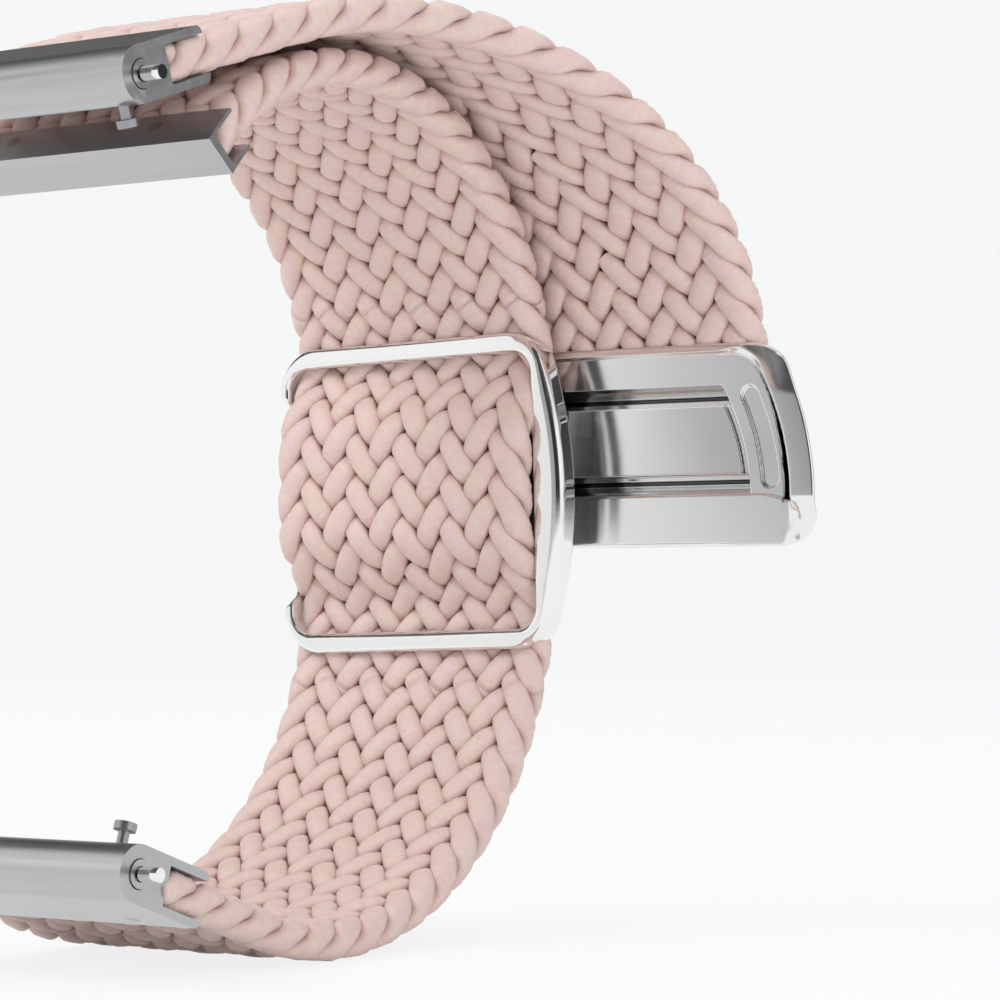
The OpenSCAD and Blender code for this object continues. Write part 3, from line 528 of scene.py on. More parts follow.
def braid_tubes(p, path, s_cuts, phase, lean=None, side=12):
    """All strands of a flat two-over-two braid on a middle line, cut at the given lengths.
    Returns one (verts, faces, uvs, deep) for each stretch, deep being the painted shade down
    between the strands."""
    n_strands = p.strands
    width, thick, pitch = p.width / MM, p.thickness / MM, p.pitch / MM
    strand_w, strand_h = p.strand_width / MM, p.strand_height / MM
    s, starts = stretches(s_cuts, p.step / MM)
    k = np.arange(n_strands)[:, None]
    turn = 2 * math.pi * ((s[None, :] + phase * pitch) / (n_strands * pitch) + k / n_strands)
    # Place across the strap: a triangle wave with round turns, just inside the rims
    soft, inside = 0.995, 0.02
    half = width / 2 - strand_h / 2 - inside
    u = half * np.arcsin(soft * np.sin(turn)) / math.asin(soft)
    way = np.where(np.cos(turn) >= 0, 1.0, -1.0)
    # The same wave without its round turns counts the columns
    edge, inner = n_strands / 2, (n_strands - 5) / 2
    flat = 2 / math.pi * np.arcsin(np.sin(turn)) * n_strands / 2
    low_rim = (flat + edge) / (edge - inner)
    high_rim = inner + 1 + (flat - inner) / (edge - inner)
    between = 1 + (flat + inner) / 2
    wave = np.sin(math.pi * np.where(flat < -inner, low_rim,
                                     np.where(flat > inner, high_rim, between)))
    # A strand stays over or under for most of its way and changes in a short step. The yarn is a
    # little uneven.
    steepness = 1.7
    level = np.tanh(steepness * wave) / math.tanh(steepness)
    uneven = (0.035 * np.sin(0.83 * s[None, :] + 2.399 * k)
              + 0.02 * np.sin(2.1 * s[None, :] + 4.1 * k))
    z = (thick - strand_h) / 2 * way * level * (1 + uneven)
    # The strand's flat side turns with the rim as it goes round
    columns_to_turn = 2.6
    past = (edge - np.abs(flat)) * np.where(flat > 0, -way, way)
    swing = math.pi * smooth_step(past / columns_to_turn + 0.5)
    tilt = np.where(flat > 0, -math.pi / 2 + swing, -math.pi / 2 - swing)
    normal = np.stack([np.cos(tilt), np.zeros_like(tilt), np.sin(tilt)], -1)
    centre = np.stack([u, np.broadcast_to(s, u.shape), z], -1)
    along = unit(np.gradient(centre, axis=1))
    across = unit(np.cross(along, normal))
    normal = np.cross(across, along)
    # A flattened round: between an ellipse and a rectangle with soft corners
    a = 2 * math.pi * np.arange(side) / side
    ca, sa = np.cos(a), np.sin(a)
    ex, ey = np.sign(ca) * np.abs(ca) ** 0.8, np.sign(sa) * np.abs(sa) ** 0.85
    plump = 1 + 0.05 * np.abs(wave) + uneven
    ring = (centre[:, :, None, :]
            + across[:, :, None, :] * (ex[:, None] * (strand_w / 2 * plump)[:, :, None, None])
            + normal[:, :, None, :] * (ey[:, None] * strand_h / 2))
    up, out = ring[..., 0], ring[..., 2]
    y, z, ny, nz = path.at(ring[..., 1])
    shift = lean(y, z) if lean else 0.0
    world = np.stack([up + shift, y + ny * out + LUG_BACK, z + nz * out + LUG_HALF], -1)
    # The yarn is drawn darker down between the strands as painted shade, but not round the rims
    depth = np.clip((thick / 2 - np.abs(out)) / (thick * 0.5), 0, 1)
    rim_width = 1.1
    rim = np.clip((np.abs(up) - (width / 2 - rim_width)) / rim_width, 0, 1)
    deep = np.clip((depth - 0.25) / 0.6, 0, 1) * (1 - rim)
    uv_along, uv_round, uv_strand = 1.2, 0.4, 7.3
    results = []
    for r0, r1 in zip(starts[:-1], starts[1:]):
        m = r1 - r0 + 1
        v = s[r0:r1 + 1] * uv_along
        faces, uvs = [], []
        for q in range(n_strands):
            base = q * m * side
            faces += tube_faces(m, side, base)
            w = [j * uv_round + q * uv_strand for j in range(side + 1)]
            for v0, v1 in zip(v[:-1], v[1:]):
                for w0, w1 in zip(w[:-1], w[1:]):
                    uvs += [(v0, w0), (v0, w1), (v1, w1), (v1, w0)]
            # Each strand is closed at both ends of the stretch
            last = base + (m - 1) * side
            faces += [tuple(range(base, base + side))[::-1], tuple(range(last, last + side))]
            uvs += [(0.0, q * uv_strand)] * (2 * side)
        results.append((world[:, r0:r1 + 1].reshape(-1, 3), faces, uvs,
                        deep[:, r0:r1 + 1].reshape(-1)))
    return results


def braid_object(name, data, mat):
    """One stretch of braid as an object."""
    verts, faces, uvs, deep = data
    obj = make(name, verts, faces, mat)
    layer = obj.data.uv_layers.new(name="yarn")
    layer.data.foreach_set("uv", np.asarray(uvs, np.float32).ravel())
    # Keeps the painted shade between the strands for the yarn's material
    keep_values(obj, "deep", deep)
    face_outwards(obj)
    return obj


class STRAP_OT_braid_first(bpy.types.Operator):
    """Builds the first strap's braid in its three stretches: lower, through the window, and tail"""
    bl_idname = "watchstrap.braid_first"
    bl_label = "Braid of the first strap"

    def execute(self, context):
        scene = context.scene
        p = scene.strap_sizes
        loop = Loop(scene.loop_sizes, p, scene.frame_sizes)
        path, cuts = loop.first()
        mat = dyed_nylon(p)
        parts = braid_tubes(p, path, [0.0, *cuts, path.length], p.phase_a)
        pieces = []
        for stretch, part in zip(("lower", "window", "tail"), parts):
            obj = braid_object("braid_" + stretch, part, mat)
            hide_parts("strap_a_" + stretch)
            pieces.append(obj)
        lower, window, tail = pieces
        # Where the lower stretch meets the window, and two places on the upper bend before the
        # tail's clamp
        low_join = (float(loop.window_y(-loop.window_end)), -loop.window_end)
        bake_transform(lower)
        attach(window, "slider")
        top = [loop.on_arc(loop.top_c, loop.top_r, a)
               for a in (loop.top_join, loop.tail_angle - math.radians(7))]
        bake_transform(tail)
        return {"FINISHED"}


class STRAP_OT_braid_second(bpy.types.Operator):
    """Builds the second strap's braid, which leans sideways while the clasp stands open"""
    bl_idname = "watchstrap.braid_second"
    bl_label = "Braid of the second strap"

    def execute(self, context):
        scene = context.scene
        p = scene.strap_sizes
        loop = Loop(scene.loop_sizes, p, scene.frame_sizes)
        path = loop.second()
        mat = bpy.data.materials["dyed_nylon_braid"]
        part = braid_tubes(p, path, [0.0, path.length], p.phase_b, lean=loop.lean)[0]
        obj = braid_object("braid_second", part, mat)
        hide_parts("strap_b")
        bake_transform(obj)
        return {"FINISHED"}


# The sliding frame

def rounded(corners):
    """Closed outline of arcs joined by straight runs. Each arc is a centre, a radius, the angles
    in degrees that it runs between, and how many points it has."""
    return np.concatenate([Loop.on_arc(c, r, np.radians(np.linspace(a0, a1, count)))
                           for c, r, a0, a1, count in corners])


def reach(outline, angles):
    """Distance from the origin to a closed outline at each angle."""
    # Long straight runs are cut up first, so that the distance is right between their ends
    fine = []
    for p, q in zip(outline, np.roll(outline, -1, 0)):
        fine += [p + (q - p) * t for t in np.linspace(0, 1, 40, endpoint=False)]
    x, z = np.array(fine).T
    return np.interp(angles, np.arctan2(z, x), np.hypot(x, z), period=2 * math.pi)


def ring_outlines(p):
    """The sliding frame's own outline and its window's, in X and Z."""
    half_h = p.height / MM / 2
    rl, rr, ri = p.left_corner / MM, p.right_corner / MM, 1.6
    left = -p.window_left / MM - p.left_side / MM
    bow = p.bow_radius / MM
    bow_c = p.window_right / MM + p.right_side / MM - bow
    zr = half_h - rr
    xr = bow_c + math.sqrt((bow - rr) ** 2 - zr * zr)
    meet = math.degrees(math.atan2(zr, xr - bow_c))
    outer = rounded([((bow_c, 0), bow, -meet, meet, 40), ((xr, zr), rr, meet, 90, 24),
                     ((left + rl, half_h - rl), rl, 90, 180, 24),
                     ((left + rl, rl - half_h), rl, 180, 270, 24),
                     ((xr, -zr), rr, -90, -meet, 24)])
    x0, x1 = ri - p.window_left / MM, p.window_right / MM - ri
    z1 = half_h - p.bar / MM - ri
    inner = rounded([((x1, z1), ri, 0, 90, 24), ((x0, z1), ri, 90, 180, 24),
                     ((x0, -z1), ri, 180, 270, 24), ((x1, -z1), ri, 270, 360, 24)])
    return outer, inner


def ring_mesh(p):
    """Vertices and faces of the sliding frame: a section with round edges, drawn round the
    window."""
    outer, inner = ring_outlines(p)
    corners = [np.arctan2(q[:, 1], q[:, 0]) for q in (outer, inner)]
    even = np.radians(np.arange(-180, 180, 1.5))
    angles = np.unique(np.round(np.concatenate([*corners, even]), 4))
    way = np.stack([np.cos(angles), np.sin(angles)], 1)
    out = way * reach(outer, angles)[:, None]
    wide = np.hypot(*(out - way * reach(inner, angles)[:, None]).T)
    # The left side is set back beside the strap's edge, and the bars are shallower than the sides
    x, z = out.T
    at_left = smooth_step((8.1 - np.abs(z)) / 1.3) * (x < 0)
    at_side = smooth_step((np.abs(x) - 9.7) / 1.3)
    at_bow = smooth_step((x - 8.6) / 2.6)
    face = -p.face / MM
    front = face + p.set_back / MM * at_left
    bars, sides, left, bow = 0.75, 1.15, 0.7, 0.5
    back = face + bars + sides * at_side + left * at_left + bow * at_bow
    # Radii of the outer, window and back edges, no larger than the section has room for
    deep = back - front
    r = p.edge / MM + (p.bow_edge - p.edge) / MM * at_bow
    r = np.minimum(r, np.minimum(wide * 0.4, deep * 0.45))
    ri = np.minimum(p.inner_edge / MM, np.minimum(wide * 0.36, deep * 0.62))
    rb = np.minimum(0.1, deep * 0.2)
    # The flats end a hair from each round edge, which keeps their shading flat
    hair = 0.02
    turn = np.radians(np.linspace(0, 90, 11))
    section = [(r * (1 - np.cos(t)), front + r * (1 - np.sin(t))) for t in turn]
    section += [(r + hair, front), (wide - ri - hair, front)]
    section += [(wide - ri * (1 - np.sin(t)), front + ri * (1 - np.cos(t))) for t in turn]
    section += [(wide, front + ri + hair), (wide, back - rb - hair)]
    section += [(wide - rb * (1 - np.cos(t)), back - rb * (1 - np.sin(t))) for t in turn]
    section += [(wide - rb - hair, back), (r + hair, back)]
    section += [(r * (1 - np.sin(t)), back - r * (1 - np.cos(t))) for t in turn]
    section += [(0 * r, back - r - hair), (0 * r, front + r + hair)]
    rows = []
    for inward, y in section:
        x, z = (out - way * inward[:, None]).T
        rows.append(np.stack([x, y + LUG_BACK, z + LUG_HALF], 1))
    verts = np.stack(rows, 1)
    faces = tube_faces(*verts.shape[:2], closed=True)
    return turned(verts.reshape(-1, 3), p.askew, (0, LUG_HALF)), faces


def turned(verts, angle, about):
    """Vertices turned about a line along Y through a place in X and Z, up at the right end."""
    c, s = math.cos(angle), math.sin(angle)
    x, z = verts[:, 0] - about[0], verts[:, 2] - about[1]
    return np.stack([about[0] + x * c - z * s, verts[:, 1], about[1] + x * s + z * c], 1)


class STRAP_OT_sliding_frame(bpy.types.Operator):
    """Builds the polished sliding frame that the first strap is threaded through"""
    bl_idname = "watchstrap.sliding_frame"
    bl_label = "Sliding frame"

    def execute(self, context):
        verts, faces = ring_mesh(context.scene.frame_sizes)
        obj = make("sliding_frame_polished", verts, faces,
                   bpy.data.materials["polished_stainless_steel"])
        face_outwards(obj)
        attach(obj, "slider")
        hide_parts("slider_frame")
        return {"FINISHED"}


# The clasp

class ClaspPlan:
    """The clasp's outline and the places of its relief, in millimetres about its own middle."""

    # Centre of the bow that the right end, the lip and the grooves' ends follow
    bow_c = np.array([-4.5, -0.5])

    def __init__(self, p):
        self.low, self.top = p.low / MM, p.top / MM
        self.left = -p.left / MM
        self.r_out = p.right / MM - self.bow_c[0]
        self.r_in = self.r_out - p.lip / MM
        self.r_groove = p.groove_end / MM - self.bow_c[0]
        # Radius of the left corners, and the plate's upper edge with its right corner's radius
        self.left_r = 1.2
        self.plate_top, self.plate_corner = self.top - 0.7, 2.6
        # Each right corner: centre, side and radius
        self.corners = [(self.touch(z, side, self.r_out, r / MM), side, r / MM)
                        for z, side, r in ((self.top, 1, p.corner), (self.low, -1, p.low_corner))]
        self.plate_q = self.touch(self.plate_top, 1, self.r_in, self.plate_corner)
        self.panel = p.panel / MM
        self.panel_z = p.panel_middle / MM
        self.groove = p.groove / MM
        self.plate_low = self.panel_z - self.panel / 2 - self.groove - 0.15
        self.rise = p.lip_rise / MM
        # The plate's face lies this far behind the loop's middle
        self.plate = 1.75

    def touch(self, z, side, bow_r, r):
        """Centre of a corner circle that touches a bow and a level edge."""
        zc = z - side * r
        across = math.sqrt((bow_r - r) ** 2 - (zc - self.bow_c[1]) ** 2)
        return np.array([self.bow_c[0] + across, zc])

    def right_at(self, z):
        """Right end of the outline at a height."""
        x = self.bow_c[0] + np.sqrt(np.maximum(self.r_out ** 2 - (z - self.bow_c[1]) ** 2, 0))
        for c, side, r in self.corners:
            u = (c - self.bow_c) / np.hypot(*(c - self.bow_c))
            inside = side * (z - c[1] - r * u[1]) > 0
            x = np.where(inside, c[0] + np.sqrt(np.maximum(r * r - (z - c[1]) ** 2, 0)), x)
        return x

    def left_at(self, z):
        """Left end of the outline at a height."""
        over = np.maximum(np.maximum(z - (self.top - self.left_r), self.low + self.left_r - z), 0)
        return self.left + self.left_r - np.sqrt(np.maximum(self.left_r ** 2 - over ** 2, 0))

    def inset(self, x, z):
        """Distance in from the outline."""
        rho = np.hypot(x - self.bow_c[0], z - self.bow_c[1])
        d = np.minimum(np.minimum(self.top - z, z - self.low),
                       np.minimum(self.r_out - rho, x - self.left))
        for c, side, r in self.corners:
            u = (c - self.bow_c) / np.hypot(*(c - self.bow_c))
            vx, vz = x - c[0], z - c[1]
            zone = (side * (u[0] * vz - u[1] * vx) > 0) & (vx > 0) & (side * vz > 0)
            d = np.where(zone, r - np.hypot(vx, vz), d)
        for corner_z in (self.top - self.left_r, self.low + self.left_r):
            c = (self.left + self.left_r, corner_z)
            vx, vz = x - c[0], z - c[1]
            zone = (vx < 0) & (vz * (c[1] - (self.top + self.low) / 2) > 0)
            d = np.where(zone, self.left_r - np.hypot(vx, vz), d)
        return d

    def past_plate(self, x, z):
        """Distance out past the plate's upper and right edge; less than nothing on the plate."""
        rho = np.hypot(x - self.bow_c[0], z - self.bow_c[1])
        d = np.maximum(z - self.plate_top, rho - self.r_in)
        q = self.plate_q
        u = (q - self.bow_c) / np.hypot(*(q - self.bow_c))
        vx, vz = x - q[0], z - q[1]
        zone = (u[0] * vz - u[1] * vx > 0) & (vx > 0) & (vz > 0)
        return np.where(zone, np.hypot(vx, vz) - self.plate_corner, d)

    def pill(self, x, z):
        """Distance out from the finger pill beside the grooves."""
        dx, dz = x - self.bow_c[0], z - self.bow_c[1]
        # Its middle line is an arc this far inside the plate's edge, between two heights
        r, half_width = self.r_in - 1.55, 0.65
        low_z, high_z = self.plate_low + 1.1, self.panel_z + self.panel / 2 + self.groove - 0.7
        a0, a1 = (math.asin((end - self.bow_c[1]) / r) for end in (low_z, high_z))
        a = np.clip(np.arctan2(dz, dx), a0, a1)
        return np.hypot(dx - r * np.cos(a), dz - r * np.sin(a)) - half_width

    def front(self, x, z, rho, inset, past, at_right):
        """Depth of the plate, the band below it and the lip round it, before their edges."""
        # The lower band stands forward of the plate and swells slowly towards the lip. It stays
        # far enough back to pass behind the carrier's corner.
        band_top = self.plate_low - 0.35 * smooth_step((x - 11.2) / 2.2)
        swell = np.clip((x + 3.0) / 17.0, 0, 1)
        y = self.plate - soft_step(band_top - z, 0.14) * (0.06 + 0.17 * swell)
        # The lip rises from beside the gap to a crest, and the upper edge is a low ridge
        ridge = 0.42
        low_end = smooth_step((-0.4 - z) / 2.0)
        upper = smooth_step((z - 6.4) / 3.4)
        rise = self.rise * (1 - 0.62 * upper) * (1 - 0.5 * low_end)
        crest = self.plate - (ridge + (rise - ridge) * at_right)
        foot = np.minimum(y, self.plate - 0.18 * at_right)
        climb = smooth_step(np.clip(past, 0, 1) / (0.16 + 0.3 * at_right + 1.4 * low_end))
        onto = soft_step(past + 0.02, 0.1)
        y = y * (1 - onto) + np.minimum(y, foot + (crest - foot) * climb) * onto
        # The lip leans back in a long curve before its narrow round edge
        lean = np.clip(1 - inset / 1.6, 0, 1)
        return y + 0.28 * at_right * lean ** 2 * smooth_step((rho - self.r_out + 2.4) / 1.2)

    def rounding(self, x, z, inset, at_right):
        """How far the face falls back at its outer edge."""
        left_edge = smooth_step((self.left + 2 - x) / 1.0)
        # A flat strip runs along the upper edge, and the lower edge is finer
        strip = smooth_step((z - self.top + 1.2) / 0.4)
        wide = 0.3 - 0.17 * at_right - 0.05 * left_edge + 0.22 * strip * (1 - 0.5 * at_right)
        wide = np.where(z < self.low + 1, wide * 0.7, wide)
        fall = 0.42 - 0.27 * at_right - 0.2 * strip * (1 - at_right)
        e = np.clip(1 - inset / wide, 0, 1)
        rounded_off = 1 - np.sqrt(np.maximum(1 - e * e, 0))
        return fall * (e * 0.6 * strip + rounded_off * (1 - 0.6 * strip))

    def grooves(self, x, z, rho):
        """How deep the two grooves and the panel between them lie, and how much painted shade the
        grooves get."""
        # From its outer side each groove has a fine step, a tilted floor, a narrow ridge, a deep
        # slot and a flat floor beside the panel
        soft, floor, slot_from, slot_to = 0.07, 1.12, 0.68, 0.94
        low, high = self.panel_z - self.panel / 2, self.panel_z + self.panel / 2
        ends = soft_step(self.r_groove - rho, 0.12)
        slot_end = soft_step(self.r_groove - 0.2 - rho, 0.1)
        sunk = shade = 0
        for v in (z - low + self.groove, high + self.groove - z):
            inside = ends * soft_step(v, soft) * soft_step(self.groove - v, soft)
            tilt = 0.2 + 0.3 * np.clip(v / 0.5, 0, 1) * soft_step(0.53 - v, soft)
            slot = soft_step(v - slot_from, soft) * soft_step(slot_to - v, soft) * slot_end
            sunk = sunk + inside * (floor + tilt + 0.3 * slot)
            # The deep slot and the groove's outer floor get painted shade
            shade = shade + inside * (0.9 * slot + 0.2 * soft_step(0.5 - v, 0.1))
        panel = ends * soft_step(np.minimum(z - low - 0.06, high - 0.06 - z), 0.08)
        sunk = sunk + panel * (0.12 + 0.0021 * (x - 2.0) ** 2)
        # A fine line closes the grooves and the panel beside the bow
        line = soft_step(0.08 - np.abs(rho - self.r_groove + 0.45), 0.12)
        line = line * soft_step(z - low + 1.1, 0.1) * soft_step(high + 1.1 - z, 0.1)
        return sunk + 0.35 * line, shade

    def depth(self, x, z):
        """Depth of the clasp's face. Leaves in shade the painted shade drawn at each place that
        lies in a narrow hollow."""
        rho = np.hypot(x - self.bow_c[0], z - self.bow_c[1])
        inset, past = self.inset(x, z), self.past_plate(x, z)
        at_right = smooth_step((x - 7.4) / 2.4)
        # Gap between the plate and the lip, wider further down, sunk and darkened with painted
        # shade
        soft, gap_width = 0.07, 0.16 + 0.34 * smooth_step((8.0 - z) / 7.0)
        gap = soft_step(past + gap_width, soft) * soft_step(-past - 0.02, soft)
        gap = gap * smooth_step((z + 0.95) / 0.9) * (1 - smooth_step((z - 7.2) / 1.6))
        sunk, shade = self.grooves(x, z, rho)
        self.shade = np.clip(1.4 * gap + shade, 0, 1)
        return (self.front(x, z, rho, inset, past, at_right)
                + self.rounding(x, z, inset, at_right)
                + 0.8 * gap + sunk + 0.32 * soft_step(-self.pill(x, z), 0.14))


def clasp_grid(plan, cell):
    """Heights of the rows of the clasp's face, and shares of each row's length for its columns.
    Both are closest where the outline curves and where the relief is finest."""
    rim = 0.45
    close = rim * (1 - np.cos(np.linspace(0, math.pi / 2, 12)))
    rows = [plan.low + close[:-1], np.arange(plan.low + rim, plan.top - rim, cell),
            (plan.top - close)[::-1]]
    at = lambda x: (x - plan.left) / (plan.r_out + plan.bow_c[0] - plan.left)
    fine_from, fine_to = at(8.1), at(14.3)
    columns = [np.linspace(0, at(plan.left + 0.8), 12), np.linspace(at(plan.left + 1), at(8.0), 26),
               np.arange(fine_from, fine_to, cell / 27),
               1 - (1 - fine_to) * (1 - np.linspace(0, 1, 22)) ** 1.8]
    return (np.unique(np.round(np.concatenate(rows), 4)),
            np.unique(np.round(np.concatenate(columns), 5)))


def clasp_mesh(p):
    """Vertices, faces and painted shade values of the clasp's shell: its relief drawn row by row,
    then walls and back."""
    plan = ClaspPlan(p)
    rows, s = clasp_grid(plan, p.cell / MM)
    x0, x1 = plan.left_at(rows), plan.right_at(rows)
    x = x0[:, None] + (x1 - x0)[:, None] * s[None, :]
    z = np.broadcast_to(rows[:, None], x.shape)
    y = plan.depth(x, z)
    n, m = x.shape
    verts = [np.stack([x.ravel(), y.ravel(), z.ravel()], 1)]
    i, j = np.meshgrid(np.arange(n - 1), np.arange(m - 1), indexing="ij")
    a = (i * m + j).ravel()
    faces = np.stack([a, a + 1, a + m + 1, a + m], 1).tolist()
    # The face's outline, once round
    previous = np.array([k for k in range(m)] + [k * m + m - 1 for k in range(1, n)]
                        + [(n - 1) * m + k for k in range(m - 2, -1, -1)]
                        + [k * m for k in range(n - 2, 0, -1)])
    edge = verts[0][previous]
    xz = edge[:, [0, 2]]
    tangent = np.roll(xz, -1, 0) - np.roll(xz, 1, 0)
    normal = np.stack([-tangent[:, 1], tangent[:, 0]], 1)
    normal /= np.maximum(np.hypot(*normal.T), 1e-9)[:, None]
    back = 5.1
    rings = []
    # Walls with a round back edge: how far in and how deep each row lies
    wall = ((0.0, 3.1), (0.0, 4.7), (0.04, 4.86), (0.13, 4.99), (0.27, 5.08), (0.45, back))
    for k, (inward, depth) in enumerate(wall):
        # The bowed end slopes in towards the back
        sloped = np.minimum(0.66 * np.maximum(depth - edge[:, 1], 0), 2.0)
        slope = smooth_step((xz[:, 0] - 9) / 4) * sloped
        q = xz + normal * inward - np.stack([slope, 0 * slope], 1)
        deep = np.maximum(edge[:, 1] + 0.02 * (k + 1), depth)
        rings.append(np.stack([q[:, 0], np.minimum(deep, back), q[:, 1]], 1))
    # The back closes on a smaller outline and a middle point
    middle = np.array([[0.5, back, 3.2]])
    rings.append(middle + (rings[-1] - middle) * [0.9, 1, 0.9])
    count = len(edge)
    for k in range(len(rings)):
        ring = n * m + k * count + np.arange(count)
        faces += np.stack([previous, np.roll(previous, -1), np.roll(ring, -1), ring], 1).tolist()
        previous = ring
    centre = n * m + len(rings) * count
    faces += [(int(a), int(b), centre) for a, b in zip(previous, np.roll(previous, -1))]
    verts = np.concatenate(verts + rings + [middle])
    # Only the face carries painted shade; walls and back get none
    shade = np.zeros(len(verts))
    shade[:n * m] = plan.shade.ravel()
    return verts, faces, shade


class STRAP_OT_clasp(bpy.types.Operator):
    """Builds the clasp's cover and guide plate with its grooves, pill and raised lip"""
    bl_idname = "watchstrap.clasp"
    bl_label = "Clasp"

    def execute(self, context):
        scene = context.scene
        verts, faces, shade = clasp_mesh(scene.clasp_sizes)
        verts = verts + [scene.loop_sizes.open_x / MM, LUG_BACK, LUG_HALF]
        obj = make("clasp_shell", verts, faces, satin_steel(scene.steel_look))
        # Keeps the painted shade of the gap and the grooves for the steel's material
        keep_values(obj, "painted_recess_shade", shade)
        face_outwards(obj)
        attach(obj, "clasp")
        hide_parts("clasp_cover", "clasp_guide")
        return {"FINISHED"}


class STRAP_OT_fittings(bpy.types.Operator):
    """Gives the spring bars, end fittings, pins and magnets their metals"""
    bl_idname = "watchstrap.fittings"
    bl_label = "Fittings"

    def execute(self, context):
        look = context.scene.steel_look
        brushed = brushed_steel(look)
        dark = brushed_steel(look, "drawn_stainless_wire", 0.7)
        polished = polished_steel(look)
        plated = nickel_plate()
        for name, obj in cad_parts.items():
            if name.startswith("strap_a") or name == "strap_b":
                continue
            if "magnets" in name:
                mat = plated
            elif any(word in name for word in ("spring", "pins", "rivets", "lever")):
                mat = dark
            elif name.startswith(("bar_fixed_tip", "bar_sliding_tip")):
                mat = polished
            else:
                mat = brushed
            obj.data.materials.clear()
            obj.data.materials.append(mat)
        return {"FINISHED"}


def rounded_copy(name, body, width):
    """Builds a copy of one of the frame's brushed parts with its sharp edges rounded."""
    flat, sharp = math.radians(2), math.radians(35)
    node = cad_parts[name]
    work = bmesh.new()
    work.from_mesh(node.data)
    work.transform(node.matrix_world)
    bmesh.ops.remove_doubles(work, verts=work.verts, dist=1e-6)
    bmesh.ops.dissolve_limit(work, angle_limit=flat, verts=work.verts, edges=work.edges)
    edges = [e for e in work.edges if len(e.link_faces) == 2 and e.calc_face_angle(0) > sharp]
    bmesh.ops.bevel(work, geom=edges, offset=width, segments=2, profile=0.5, affect="EDGES",
                    clamp_overlap=True)
    mesh = bpy.data.meshes.new(name + "_rounded")
    work.to_mesh(mesh)
    work.free()
    mesh.shade_smooth()
    mesh.set_sharp_from_angle(angle=math.radians(40))
    mesh.materials.append(bpy.data.materials["brushed_stainless_steel"])
    obj = bpy.data.objects.new(name + "_rounded", mesh)
    bpy.context.scene.collection.objects.link(obj)
    # The flat faces stay flat and only the rounded edges turn the light
    even = obj.modifiers.new("even_shading", "WEIGHTED_NORMAL")
    even.keep_sharp = True
    even.weight = 90
    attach(obj, body)
    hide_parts(name)


class STRAP_OT_housings(bpy.types.Operator):
    """Builds the end fittings, the tail's clamp and the carrier with their edges rounded"""
    bl_idname = "watchstrap.housings"
    bl_label = "Housings"

    def execute(self, context):
        p = context.scene.bar_sizes
        for name, body, width in (("lug_fitting_a", "lug_end_a", p.housing_edge),
                                  ("lug_fitting_b", "lug_end_b", p.housing_edge),
                                  ("tail_clamp", "tail_end", p.housing_edge),
                                  ("strap_carrier", "slider", p.carrier_edge)):
            rounded_copy(name, body, width)
        return {"FINISHED"}


def coil(start, end, z, radius, wire, turns, around=18, sides=8):
    """Vertices and faces of a round wire coiled about a line along X."""
    steps = turns * around
    t = np.arange(steps + 1)[:, None] / steps
    a = 2 * math.pi * turns * t
    b = np.linspace(0, 2 * math.pi, sides, endpoint=False)[None, :]
    r = radius + wire * np.cos(b)
    x = start + (end - start) * t + wire * np.sin(b)
    verts = np.stack([x, r * np.cos(a), z + r * np.sin(a)], -1)
    ends = [tuple(range(sides)), tuple(steps * sides + j for j in range(sides))]
    return verts.reshape(-1, 3), tube_faces(steps + 1, sides) + ends


class STRAP_OT_springs(bpy.types.Operator):
    """Builds the return spring in each spring bar"""
    bl_idname = "watchstrap.springs"
    bl_label = "Springs"

    def execute(self, context):
        p = context.scene.bar_sizes
        start, end = p.spring_start / MM, p.spring_end / MM
        for side, z in (("a", 0.0), ("b", 2 * LUG_HALF)):
            verts, faces = coil(start, end, z, p.coil / MM, p.wire / MM, p.turns)
            obj = make("return_spring_" + side, verts, faces,
                       bpy.data.materials["drawn_stainless_wire"])
            face_outwards(obj)
            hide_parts("bar_spring_" + side)
            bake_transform(obj)
        return {"FINISHED"}


# The stage

# The light tent's brightness at each turn about the object, in degrees. The levels were set to
# bring the metal's reflections near the photo's. They are lighting, and in other light the
# same steel looks different.
TENT_TURNS = [0, 34, 44, 120, 134, 200, 236, 243, 284, 290, 330, 340, 360]
TENT_LEVELS = [1.0, 1.0, 0.03, 0.03, 0.6, 1.0, 1.0, 0.42, 0.36, 0.03, 0.03, 1.0, 1.0]


def tent_level(turn, height):
    """Brightness of the light tent at a turn and a height, both in degrees."""
    level = np.interp(turn, TENT_TURNS, TENT_LEVELS)
    # Close to the floor the walls pick up its light
    level = level + (0.86 - level) * smooth_step((3 - height) / 8)
    # Above and below, the walls darken behind the object and grow bright again overhead
    steep = np.abs(height)
    over = smooth_step((steep - 69) / 8)
    dark = smooth_step((steep - 17) / 8) * (1 - over)
    around = smooth_step((turn - 50) / 14) * (1 - smooth_step((turn - 340) / 12))
    level = level * (1 - dark) + (0.85 - 0.78 * around) * dark
    return level * (1 - over) + 0.9 * over


